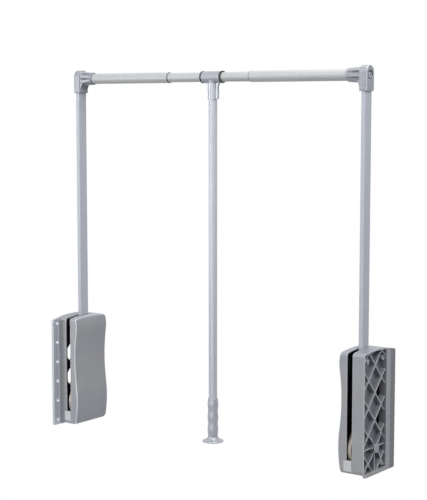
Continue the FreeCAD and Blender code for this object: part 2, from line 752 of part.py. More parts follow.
def wave_block(name, inset, start):
    """Front view of the cover: bulge, waist and bulge as three arcs that run into each other.

    Each bulge's radius follows from its height and rise over the waist and from the waist's own radius.
    """
    body = new_body(name)
    sketch = new_sketch(body, "XZ")
    low_rise = S.low_crown - S.waist
    low_run = S.waist_height - S.low_crown_height
    low_sum = (low_run * low_run + low_rise * low_rise) / (2 * low_rise)
    low_bend = low_sum - S.waist_radius
    high_rise = S.high_crown - S.waist
    high_run = S.high_crown_height - S.waist_height
    high_sum = (high_run * high_run + high_rise * high_rise) / (2 * high_rise)
    high_bend = high_sum - S.waist_radius
    foot = S.body_foot + inset
    head = S.crown_top + OVERCUT - inset

    def face(crown, bend, crown_height, height):
        fall = height - crown_height
        return SLOT_FACE + crown - bend + root((bend - inset) * (bend - inset) - fall * fall)

    low_share = (low_bend - inset) / low_sum
    high_share = (high_bend - inset) / high_sum
    low_join = (
        SLOT_FACE + S.low_crown - low_bend + (low_sum - low_rise) * low_share,
        S.low_crown_height + low_run * low_share,
    )
    high_join = (
        SLOT_FACE + S.high_crown - high_bend + (high_sum - high_rise) * high_share,
        S.high_crown_height - high_run * high_share,
    )
    outline(
        sketch,
        [
            (start, foot),
            (face(S.low_crown, low_bend, S.low_crown_height, foot), foot),
            low_join,
            high_join,
            (face(S.high_crown, high_bend, S.high_crown_height, head), head),
            (start, head),
        ],
        {1: (1, low_bend - inset), 2: (-1, S.waist_radius + inset), 3: (1, high_bend - inset)},
    )
    pad(body, sketch, S.body_depth - 2 * inset, symmetric=True)
    return body


def cover_form(name, inset, start):
    """The cover's outer form, or its hollow when inset by the wall."""
    wave = wave_block(name + "_wave", inset, start)
    side_view = outline_block(name + "_side", inset, start, S.body_depth)
    return boolean("Common", name, wave, side_view)


def round_cover_edges(name, form):
    """Round the edges between the wavy face and its front, back, top and foot."""
    doc.recompute()
    result = doc.addObject("Part::Fillet", name)
    result.Base = form
    edges = []
    deep = S.body_depth.value / 2
    limit = SLOT_FACE.value + S.waist.value / 2
    for number, edge in enumerate(form.Shape.Edges, start=1):
        box = edge.BoundBox
        if box.XMin < limit:
            continue
        inner_seam = box.YLength > deep and box.XLength < OVERCUT / 10 and box.ZLength < OVERCUT / 10
        at_foot = abs(box.ZMax - S.body_foot.value) < OVERCUT / 10
        if inner_seam and not at_foot:
            continue
        edges.append((number, S.cover_edge.value, S.cover_edge.value))
    result.Edges = edges
    return result


def cover(side):
    """The wavy cover, with the walls that close the slot behind the arm and the columns for its screws."""
    front = front_sign(side)
    form = cover_form(side + "_cover_form", as_size(0), SLOT_FACE)
    rounded = round_cover_edges(side + "_cover_rounded", form)
    hollow = cover_form(side + "_cover_hollow", S.cover_wall, SLOT_FACE - OVERCUT)
    tray = boolean("Cut", side + "_cover_tray", rounded, hollow)
    bridge = new_body(side + "_bridge")
    ring = new_sketch(bridge, "YZ", S.shell_reach)
    body_outline(ring, as_size(0))
    body_outline(ring, S.shell_wall)
    pad(bridge, ring, S.slot_gap)
    opening = new_sketch(bridge, "YZ", S.shell_reach - OVERCUT)
    near, far = -S.bridge_start * front, S.body_depth * front
    rectangle(opening, near, S.closure_foot, far, S.crown_top * 2)
    pocket(bridge, opening, S.slot_gap + 2 * OVERCUT, reverse=True)
    foot_slot = new_sketch(bridge, "YZ", S.shell_reach - OVERCUT)
    disc_cut = disc_at(S.closure_foot) + S.foot_clearance
    rectangle(foot_slot, -disc_cut, 0, disc_cut, S.closure_foot)
    pocket(bridge, foot_slot, S.slot_gap + 2 * OVERCUT, reverse=True)
    pieces = [tray, bridge]
    for number, (y, z) in enumerate(boss_places(side)):
        column_end = SLOT_FACE + (S.column_high if z is S.high_boss_height else S.column_low)
        column = rod(f"{side}_column_{number}", S.shell_reach, column_end, S.corner_boss / 2)
        tie(column, "Placement.Base.y", y)
        tie(column, "Placement.Base.z", z)
        pieces.append(column)
    boss = rod(side + "_cover_boss", COVER_BOSS_FACE, SLOT_FACE + S.low_crown - S.cover_wall / 2, S.pivot_boss / 2)
    tie(boss, "Placement.Base.z", S.pivot_height)
    pieces.append(boss)
    drills = []
    for number, (y, z) in enumerate(boss_places(side)):
        pilot_end = S.shell_screw_seat + S.shell_screw_length + S.free_gap
        pilot = rod(f"{side}_pilot_{number}", S.shell_reach - OVERCUT, pilot_end, S.shell_screw / 2)
        tie(pilot, "Placement.Base.y", y)
        tie(pilot, "Placement.Base.z", z)
        drills.append(pilot)
    axle_bore = rod(side + "_cover_bore", COVER_BOSS_FACE - OVERCUT, S.axle_end + S.free_gap, SHAFT_BORE)
    tie(axle_bore, "Placement.Base.z", S.pivot_height)
    drills.append(axle_bore)
    whole = join(side + "_cover_whole", pieces)
    piece = boolean("Cut", side + "_cover", whole, join(side + "_cover_drills", drills))
    finish(piece, side + "_cover", side)


def slot_closure(side):
    """Pale block that closes the foot of the slot; its face plate laps one shell's front."""
    body = new_body(side + "_slot_closure")
    sketch = new_sketch(body, "XY", S.closure_foot)
    front = front_sign(side)
    face = S.body_depth / 2 * front
    plate = (S.body_depth / 2 + S.closure_plate) * front
    plug = (S.body_depth / 2 - S.closure_plug) * front
    left, right = S.shell_reach + S.free_gap / 3, SLOT_FACE - S.free_gap / 3
    if side == "left":
        corners = [(left - S.closure_lap, face), (left, face), (left, plug)]
        corners += [(right, plug), (right, plate), (left - S.closure_lap, plate)]
    else:
        corners = [(right + S.closure_lap, face), (right, face), (right, plug)]
        corners += [(left, plug), (left, plate), (right + S.closure_lap, plate)]
    outline(sketch, corners)
    pad(body, sketch, S.closure_height)
    finish(body, side + "_slot_closure", side)


def pivot(side):
    """Axle between the two shells, and a thrust washer at each end of the hub barrel."""
    axle = rod(side + "_pivot_axle", S.axle_start, S.axle_end, S.axle / 2)
    finish(axle, side + "_pivot_axle", side, S.pivot_height)
    washers = []
    for number, start in enumerate((WASHER_START, BARREL_END + S.free_gap)):
        bore = S.axle / 2 + S.free_gap
        washers.append(tube(f"{side}_washer_{number}", start, start + S.washer_plate, S.washer_outside / 2, bore))
    finish(group(side + "_thrust_washers", washers), side + "_thrust_washers", side, S.pivot_height)


def torsion_spring(side):
    """Coils round the hub barrel; one end reaches forward over the disc, the other towards the back."""
    body = new_body(side + "_torsion_spring")
    start = new_sketch(body, "XZ")
    circle(start, SPRING_START, S.spring_mean, S.spring_wire / 2)
    coil = body.newObject("PartDesign::AdditiveHelix", body.Name + "_coil")
    coil.Profile = start
    coil.ReferenceAxis = (start, ["H_Axis"])
    coil.Mode = "pitch-turns-angle"
    tie(coil, "Pitch", S.spring_pitch)
    tie(coil, "Turns", S.spring_turns)
    doc.recompute()
    first_leg = new_sketch(body, "XZ")
    circle(first_leg, SPRING_START, S.spring_mean, S.spring_wire / 2)
    pad(body, first_leg, S.spring_leg, reverse=True)
    last_leg = new_sketch(body, "XZ")
    last_coil = SPRING_START + S.spring_pitch * S.spring_turns
    circle(last_leg, last_coil, -S.spring_mean, S.spring_wire / 2)
    pad(body, last_leg, S.spring_leg, reverse=True)
    finish(body, side + "_torsion_spring", side, S.pivot_height)


def shell_screws(side):
    """Screws that hold wall shell and cover together."""
    screws = []
    for number, (y, z) in enumerate(boss_places(side)):
        head_start = S.shell_screw_seat - S.shell_screw_plate
        screw = turned(
            f"{side}_shell_screw_{number}",
            [
                (head_start, 0),
                (S.shell_screw_seat + S.shell_screw_length, 0),
                (S.shell_screw_seat + S.shell_screw_length, S.shell_screw / 2),
                (S.shell_screw_seat, S.shell_screw / 2),
                (S.shell_screw_seat, S.shell_screw_head / 2),
                (head_start, S.shell_screw_head / 2),
            ],
        )
        tie(screw, "Placement.Base.y", y)
        tie(screw, "Placement.Base.z", z)
        screws.append(screw)
    finish(group(side + "_shell_screws", screws), side + "_shell_screws", side)


# ---------------------------------------------------------------- arm


def hub(side):
    """Disc on the pivot with a long barrel for its bush, and a tongue that the arm tube slips over."""
    body = new_body(side + "_hub_disc")
    disc = new_sketch(body, "YZ", ARM_MID + S.hub_rim_shift)
    circle(disc, 0, S.pivot_height, HUB_RADIUS)
    pad(body, disc, S.hub_rim_plate, symmetric=True)
    for face, towards_room in ((S.hub_plate / 2, True), (-S.hub_plate / 2, False)):
        hollow = new_sketch(body, "YZ", ARM_MID + face)
        circle(hollow, 0, S.pivot_height, HUB_RADIUS - S.hub_rim)
        pocket(body, hollow, S.hub_rim_plate, reverse=towards_room)
    barrel = new_sketch(body, "YZ", BARREL_START)
    circle(barrel, 0, S.pivot_height, S.barrel_outside / 2)
    pad(body, barrel, S.barrel_length)
    tongue = new_sketch(body, "YZ", ARM_MID)
    half = S.arm_deep / 2 - S.arm_wall - S.arm_fit
    rectangle(tongue, -half, S.tongue_root, half, S.tongue_top)
    pad(body, tongue, S.arm_wide - 2 * (S.arm_wall + S.arm_fit), symmetric=True)
    bore = new_sketch(body, "YZ", BARREL_START - OVERCUT)
    circle(bore, 0, S.pivot_height, S.bush_outside / 2)
    pocket(body, bore, S.barrel_length + 2 * OVERCUT, reverse=True)
    rivet_hole = new_sketch(body, "YZ", S.shell_reach)
    circle(rivet_hole, 0, S.rivet_low, S.rivet / 2)
    first = pocket(body, rivet_hole, S.slot_gap, reverse=True)
    linear(body, first, "Z_Axis", S.rivet_pitch, as_size(2))
    finish(body, side + "_hub_disc", side)
    bush = tube(side + "_pivot_bush", BARREL_START, BARREL_END, S.bush_outside / 2, SHAFT_BORE)
    finish(bush, side + "_pivot_bush", side, S.pivot_height)


def rounded_rectangle(sketch, x, half_x, half_y, corner):
    """A rectangle centred at (x, 0) with round corners."""
    corners = []
    for turn_x, turn_y in ((1, -1), (1, 1), (-1, 1), (-1, -1)):
        on_flat = (x + turn_x * (half_x - corner), turn_y * half_y)
        on_side = (x + turn_x * half_x, turn_y * (half_y - corner))
        corners += [on_flat, on_side] if turn_x * turn_y < 0 else [on_side, on_flat]
    outline(sketch, corners, {number: (1, corner) for number in (0, 2, 4, 6)})


def arm_tube(side):
    """Flat rectangular tube from above the hub disc into the elbow, with holes for its rivets."""
    body = new_body(side + "_arm_tube")
    section = new_sketch(body, "XY", ARM_FOOT)
    rounded_rectangle(section, ARM_MID, S.arm_wide / 2, S.arm_deep / 2, S.arm_corner)
    inner_corner = S.arm_corner - S.arm_wall
    rounded_rectangle(
        section, ARM_MID, S.arm_wide / 2 - S.arm_wall, S.arm_deep / 2 - S.arm_wall, inner_corner
    )
    pad(body, section, S.rod_height - S.arm_head_drop - ARM_FOOT)
    rivet_hole = new_sketch(body, "YZ", S.shell_reach)
    circle(rivet_hole, 0, S.rivet_low, S.rivet / 2)
    first = pocket(body, rivet_hole, S.slot_gap, reverse=True)
    linear(body, first, "Z_Axis", S.rivet_pitch, as_size(2))
    finish(body, side + "_arm_tube", side)
    rivets = []
    for number in range(2):
        half = S.arm_wide / 2
        outer = half + S.rivet_head_plate
        rivet = turned(
            f"{side}_rivet_{number}",
            [
                (ARM_MID - outer, 0),
                (ARM_MID + outer, 0),
                (ARM_MID + outer, S.rivet_head / 2),
                (ARM_MID + half, S.rivet_head / 2),
                (ARM_MID + half, S.rivet / 2),
                (ARM_MID - half, S.rivet / 2),
                (ARM_MID - half, S.rivet_head / 2),
                (ARM_MID - outer, S.rivet_head / 2),
            ],
        )
        tie(rivet, "Placement.Base.z", S.rivet_low + number * S.rivet_pitch)
        rivets.append(rivet)
    finish(group(side + "_arm_rivets", rivets), side + "_arm_rivets", side)


def elbow(side):
    """Corner casting: box over the arm's end, fluted socket for the rod, and webs in the angle between them."""
    body = new_body(side + "_elbow")
    box = new_sketch(body, "YZ", ELBOW_OUTSIDE)
    half = S.elbow_deep / 2
    outline(
        box,
        [
            (-half, -S.elbow_drop),
            (half, -S.elbow_drop),
            (half, S.elbow_head_lift),
            (0, S.elbow_head_lift + half),
            (-half, S.elbow_head_lift),
        ],
        {2: (1, half), 3: (1, half)},
    )
    pad(body, box, S.elbow_wide)
    socket = new_sketch(body, "XZ")
    outline(
        socket,
        [(ELBOW_OUTSIDE + S.elbow_wide / 2, 0), (SOCKET_END, 0), (SOCKET_END, S.socket_mouth),
         (ELBOW_INSIDE, S.socket_root), (ELBOW_OUTSIDE + S.elbow_wide / 2, S.socket_root)],
    )
    revolve(body, socket, "H_Axis")
    web = new_sketch(body, "XZ", S.web_spread / 2)
    outline(
        web,
        [
            (ARM_MID, -S.elbow_drop),
            (ELBOW_INSIDE + S.web_foot_reach, -S.elbow_drop),
            (ELBOW_INSIDE + S.web_head_reach, -S.socket_mouth + S.web_lap),
            (ARM_MID, -S.socket_mouth + S.web_lap),
        ],
        {1: (-1, S.web_curve)},
    )
    first_web = pad(body, web, S.web_plate, symmetric=True)
    linear(body, first_web, "Y_Axis", S.web_spread / (S.web_count - 1), S.web_count)
    doc.recompute()
    arm_hole = new_sketch(body, "XY", -S.elbow_drop)
    rectangle(
        arm_hole,
        ARM_MID - S.arm_wide / 2 - S.arm_fit,
        -S.arm_deep / 2 - S.arm_fit,
        ARM_MID + S.arm_wide / 2 + S.arm_fit,
        S.arm_deep / 2 + S.arm_fit,
    )
    pocket(body, arm_hole, S.elbow_drop - S.arm_head_drop, reverse=True)
    bore = new_sketch(body, "YZ", ROD_STOP)
    circle(bore, 0, 0, S.outer_tube / 2)
    pocket(body, bore, S.elbow_wide + S.socket_length, reverse=True)
    ring_seat = new_sketch(body, "YZ", SOCKET_END - S.ring_plate)
    circle(ring_seat, 0, 0, S.ring_outside / 2)
    pocket(body, ring_seat, S.socket_length, reverse=True)
    recess = new_sketch(body, "YZ", ELBOW_OUTSIDE)
    circle(recess, 0, 0, S.recess / 2)
    pocket(body, recess, S.recess_depth, reverse=True)
    screw_hole = new_sketch(body, "YZ", ELBOW_OUTSIDE)
    circle(screw_hole, 0, 0, S.elbow_screw / 2 + S.free_gap)
    pocket(body, screw_hole, S.elbow_wide, reverse=True)
    flute = new_sketch(body, "YZ", ELBOW_INSIDE + S.rod_seat)
    circle(flute, 0, S.socket_root - S.flute_sink, S.flute_radius)
    groove = pocket(body, flute, S.socket_length - S.ring_plate - 2 * S.rod_seat, reverse=True)
    polar(body, groove, "X_Axis", S.flute_count)
    finish(body, side + "_elbow", side, S.rod_height)


def elbow_fittings(side):
    """Ring in the socket's mouth, plug in the rod's end, and the screw that draws rod and elbow together."""
    ring = tube(
        side + "_elbow_ring",
        SOCKET_END - S.ring_plate,
        SOCKET_END,
        S.ring_outside / 2,
        S.outer_tube / 2,
    )
    finish(ring, side + "_elbow_ring", side, S.rod_height)
    plug = tube(side + "_rod_plug", ROD_STOP, ROD_STOP + S.plug_length, OUTER_BORE, S.elbow_screw / 2)
    finish(plug, side + "_rod_plug", side, S.rod_height)
    seat = ELBOW_OUTSIDE + S.recess_depth
    screw = turned(
        side + "_elbow_screw",
        [
            (seat - S.elbow_screw_plate, 0),
            (seat + S.elbow_screw_length, 0),
            (seat + S.elbow_screw_length, S.elbow_screw / 2),
            (seat, S.elbow_screw / 2),
            (seat, S.elbow_screw_head / 2),
            (seat - S.elbow_screw_plate, S.elbow_screw_head / 2),
        ],
    )
    finish(screw, side + "_elbow_screw", side, S.rod_height)


def outer_rod_tube(side):
    """Outer tube of the telescoping rod, from its stop in the elbow to its open mouth."""
    mouth = S.half_width - (S.left_mouth if side == "left" else S.right_mouth)
    body = tube(side + "_outer_tube", ROD_STOP, mouth, S.outer_tube / 2, OUTER_BORE)
    finish(body, side + "_outer_tube", side, S.rod_height)


# ---------------------------------------------------------------- rod and handle


def centre_rod_tube():
    half = S.centre_length / 2
    body = tube("centre_tube", -half, half, S.centre_tube / 2, S.centre_tube / 2 - S.centre_wall)
    finish(body, "centre_tube", up=S.rod_height)


def t_connector():
    """Sleeve round the centre tube with a stem below it and a web that flares from stem to sleeve."""
    body = new_body("t_connector")
    sleeve = new_sketch(body, "YZ")
    circle(sleeve, 0, 0, S.sleeve / 2)
    pad(body, sleeve, S.sleeve_length, symmetric=True)
    web = new_sketch(body, "XZ")
    half, flare = S.stem_web / 2, S.stem_web_flare
    top = S.sleeve / 2 - S.collar_plate
    outline(
        web,
        [
            (-half, -S.stem_drop),
            (half, -S.stem_drop),
            (half, -S.stem_web_shoulder),
            (flare, -top),
            (-flare, -top),
            (-half, -S.stem_web_shoulder),
        ],
        {2: (-1, S.stem_web_curve), 4: (-1, S.stem_web_curve)},
    )
    pad(body, web, S.stem_web_plate, symmetric=True)
    barrel = new_sketch(body, "XY", -S.stem_drop)
    circle(barrel, 0, 0, S.stem / 2)
    pad(body, barrel, S.stem_drop)
    socket = new_sketch(body, "XY", -S.stem_drop)
    circle(socket, 0, 0, S.handle_tube / 2)
    pocket(body, socket, S.stem_drop - S.stem_socket_roof, reverse=True)
    bore = new_sketch(body, "YZ")
    circle(bore, 0, 0, S.sleeve_bore / 2)
    pocket(body, bore, S.sleeve_length + 2 * OVERCUT, symmetric=True)
    cross = new_sketch(body, "XZ")
    circle(cross, 0, -S.pin_drop, S.pin / 2)
    pocket(body, cross, S.stem + 2 * OVERCUT, symmetric=True)
    finish(body, "t_connector", up=S.rod_height)
    rings = []
    for number in range(2):
        seat = S.sleeve_length / 2
        ring = turned(
            f"t_ring_{number}",
            [
                (seat - S.spigot_length, OUTER_BORE),
                (seat + S.collar_plate, OUTER_BORE),
                (seat + S.collar_plate, S.collar / 2),
                (seat, S.collar / 2),
                (seat, S.sleeve_bore / 2),
                (seat - S.spigot_length, S.sleeve_bore / 2),
            ],
        )
        ring.Placement = FreeCAD.Placement(
            FreeCAD.Vector(), FreeCAD.Rotation(FreeCAD.Vector(0, 0, 1), 180 * number)
        )
        rings.append(ring)
    finish(group("t_connector_rings", rings), "t_connector_rings", up=S.rod_height)


def handle():
    """Handle rod, its cross pin, and the grip with three bulges and a flared foot."""
    rod_tube = tube(
        "handle_rod",
        -S.handle_end,
        -S.stem_socket_roof,
        S.handle_tube / 2,
        S.handle_tube / 2 - S.handle_wall,
        "V_Axis",
    )
    cross = new_sketch(rod_tube, "XZ")
    circle(cross, 0, -S.pin_drop, S.pin / 2)
    pocket(rod_tube, cross, S.stem, symmetric=True)
    finish(rod_tube, "handle_rod", up=S.rod_height)
    pin = new_body("handle_pin")
    section = new_sketch(pin, "XZ")
    circle(section, 0, -S.pin_drop, S.pin / 2)
    pad(pin, section, S.stem - S.free_gap, symmetric=True)
    finish(pin, "handle_pin", up=S.rod_height)
    grip_profile()


def grip_profile():
    """Half profile of the grip, from its foot up: rim, hollow flare, three bulges and a round shoulder."""
    bore = S.handle_tube / 2
    top = -S.grip_top
    foot = -S.grip_bottom
    first = top - S.grip_shoulder
    step = S.grip_bulge_length
    throat = first - 3 * step
    rise = S.grip_bulge - S.grip_waist
    bend = (step * step / 4 + rise * rise) / (2 * rise)
    corners = [
        (0, foot),
        (S.foot_rim, foot),
        (S.foot_rim, foot + S.foot_rim_height),
        (S.foot_throat, throat),
        (S.grip_waist, throat),
        (S.grip_waist, first - 2 * step),
        (S.grip_waist, first - step),
        (S.grip_waist, first),
        (S.grip_waist - S.grip_shoulder, top),
        (bore, top),
        (bore, -S.handle_end),
        (0, -S.handle_end),
    ]
    arcs = {2: (-1, S.foot_flare), 4: (1, bend), 5: (1, bend), 6: (1, bend), 7: (1, S.grip_shoulder)}
    finish(turned("handle_grip", corners, "V_Axis", arcs), "handle_grip", up=S.rod_height)


# ---------------------------------------------------------------- build


def build():
    for side in SIDES:
        wall_shell(side)
        cover(side)
        slot_closure(side)
        pivot(side)
        torsion_spring(side)
        shell_screws(side)
        hub(side)
        arm_tube(side)
        elbow(side)
        elbow_fittings(side)
        outer_rod_tube(side)
    centre_rod_tube()
    t_connector()
    handle()
    doc.recompute()


def check_and_export():
    """Stop if any object failed or any piece is empty or broken, then write one file per piece."""
    for thing in doc.Objects:
        if "Invalid" in thing.State or "Error" in thing.State:
            raise RuntimeError(f"{thing.Name} failed to build")
    for thing in parts:
        if thing.Shape.isNull() or not thing.Shape.isValid() or not thing.Shape.Solids:
            raise RuntimeError(f"{thing.Label} has no sound solid")
    os.makedirs("parts", exist_ok=True)
    for thing in parts:
        thing.Shape.exportStep(f"parts/{thing.Label}.step")
        print(thing.Label, len(thing.Shape.Solids), round(thing.Shape.Volume, 1))


build()
check_and_export()
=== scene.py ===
"""Looks of the pull down closet rod.

The CAD pieces get their finishes, and finer surfaces stand for the rod's tubes, the handle rod, the grip,
the elbows and their screws.  Lengths are in metres, X along the rod, -Y towards the user, Z up.
"""

import bmesh
import bpy
import numpy as np
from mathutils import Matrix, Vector


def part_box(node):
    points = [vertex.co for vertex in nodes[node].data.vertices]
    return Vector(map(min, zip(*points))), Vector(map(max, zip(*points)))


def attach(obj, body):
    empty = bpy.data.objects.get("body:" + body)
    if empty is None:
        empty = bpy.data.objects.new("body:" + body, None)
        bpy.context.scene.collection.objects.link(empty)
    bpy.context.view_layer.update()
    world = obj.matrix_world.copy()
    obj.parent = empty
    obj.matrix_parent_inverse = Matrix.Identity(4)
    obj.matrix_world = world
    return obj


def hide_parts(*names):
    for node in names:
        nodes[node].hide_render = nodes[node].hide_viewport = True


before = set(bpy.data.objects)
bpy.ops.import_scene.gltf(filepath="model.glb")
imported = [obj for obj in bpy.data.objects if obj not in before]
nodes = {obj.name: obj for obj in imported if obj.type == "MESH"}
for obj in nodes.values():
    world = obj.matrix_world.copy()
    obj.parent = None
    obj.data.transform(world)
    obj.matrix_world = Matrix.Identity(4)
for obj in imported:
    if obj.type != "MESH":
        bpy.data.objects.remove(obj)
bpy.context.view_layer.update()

MM = 0.001
SIGN = {"left": -1, "right": 1}
HALF_WIDTH = 0.421  # middle of the rod to either wall plane
ROD_Z = 0.8225  # the rod's axis
ROUND = 96  # points round a tube or the grip
ARC = 5  # points on a rounded corner of a profile
CLOSED = 0.01 * MM  # radius at which a shape turned about an axis counts as closed


# ---------------------------------------------------------------- surfaces


def new_piece(name, node, points, faces, finish, body, painted_shade=None):
    """A smooth-shaded piece that stands for a CAD node and moves with a body.

    painted_shade, if given, says for every point how much painted shade darkens it, from 0 to 1.
    """
    mesh = bpy.data.meshes.new(name)
    mesh.from_pydata(points.reshape(-1, 3).tolist(), [], faces)
    if painted_shade is not None:
        depth = mesh.attributes.new("painted_shade", "FLOAT", "POINT")
        depth.data.foreach_set("value", np.asarray(painted_shade, np.float32))
    mesh.validate()
    mesh.polygons.foreach_set("use_smooth", np.ones(len(mesh.polygons), dtype=bool))
    mesh.materials.append(finish)
    piece = bpy.data.objects.new(name, mesh)
    bpy.context.scene.collection.objects.link(piece)
    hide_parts(node)
    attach(piece, body)
    close_and_face_outwards(mesh)


def close_and_face_outwards(mesh):
    """Merge the points that coincide and turn every face to the outside."""
    shell = bmesh.new()
    shell.from_mesh(mesh)
    bmesh.ops.remove_doubles(shell, verts=shell.verts, dist=1e-7)
    bmesh.ops.recalc_face_normals(shell, faces=shell.faces)
    shell.to_mesh(mesh)
    shell.free()


def grid_faces(rows, columns, wrap_rows=False):
    """Quads of a grid whose columns close on themselves; its rows do too when asked, as on a tube's bore."""
    row = np.arange(rows if wrap_rows else rows - 1)[:, None]
    column = np.arange(columns)[None, :]
    here, beyond = row * columns, ((row + 1) % rows) * columns
    after = (column + 1) % columns
    quads = np.stack([here + column, here + after, beyond + after, beyond + column], axis=-1)
    return quads.reshape(-1, 4).tolist()


def unit(vectors):
    return vectors / np.linalg.norm(vectors, axis=1, keepdims=True)


def rounded(corners, radius):
    """A closed outline with its corners turned into arcs.

    Each arc's centre lies on the corner's bisector, and its points are the two tangent radii mixed by
    sin((1-t)a)/sin(a) and sin(ta)/sin(a), where a is the arc's angle.
    """
    spot = np.asarray(corners, float)
    back = unit(np.roll(spot, 1, axis=0) - spot)
    on = unit(np.roll(spot, -1, axis=0) - spot)
    half = np.arccos((back * on).sum(1, keepdims=True)) / 2
    centre = spot + unit(back + on) * radius / np.sin(half)
    first = spot + back * radius / np.tan(half) - centre
    last = spot + on * radius / np.tan(half) - centre
    angle = (np.pi - 2 * half)[:, None]
    share = np.linspace(0, 1, ARC)[None, :, None]
    mixed = np.sin((1 - share) * angle) * first[:, None] + np.sin(share * angle) * last[:, None]
    return (centre[:, None] + mixed / np.sin(angle)).reshape(-1, 2)


def turn(profile, axis):
    """Rings about an axis through the middle of the rod.

    A profile point (along, radius) becomes a circle of that radius, that far along the axis.
    """
    along, radius = profile[:, 0, None], profile[:, 1, None]
    angle = np.linspace(0, 2 * np.pi, ROUND, endpoint=False)[None, :]
    across, up = radius * np.cos(angle), radius * np.sin(angle)
    along = np.broadcast_to(along, across.shape)
    rings = np.stack([along, across, up] if axis == "X" else [across, up, along], axis=-1)
    return rings + np.array([0, 0, ROD_Z])


def side_place(side, inwards, across, up):
    """Points of one side's own frame in the whole part: inwards from the wall plane, across, up."""
    sign = SIGN[side]
    return np.stack([sign * (HALF_WIDTH - inwards), -sign * across, up], axis=-1)


# ---------------------------------------------------------------- shader nodes


class Value:
    """A node's output; arithmetic on it adds Math nodes."""

    def __init__(self, finish, socket):
        self.finish = finish
        self.socket = socket

    def __add__(self, other):
        return self.finish.maths("ADD", self, other)

    def __sub__(self, other):
        return self.finish.maths("SUBTRACT", self, other)

    def __mul__(self, other):
        return self.finish.maths("MULTIPLY", self, other)

    def __radd__(self, other):
        return self.finish.maths("ADD", other, self)

    def __rsub__(self, other):
        return self.finish.maths("SUBTRACT", other, self)

    def __rmul__(self, other):
        return self.finish.maths("MULTIPLY", other, self)


class Step:
    """A placed node whose outputs are read as values."""

    def __init__(self, finish, made):
        self.finish = finish
        self.made = made

    def out(self, name):
        return Value(self.finish, self.made.outputs[name])


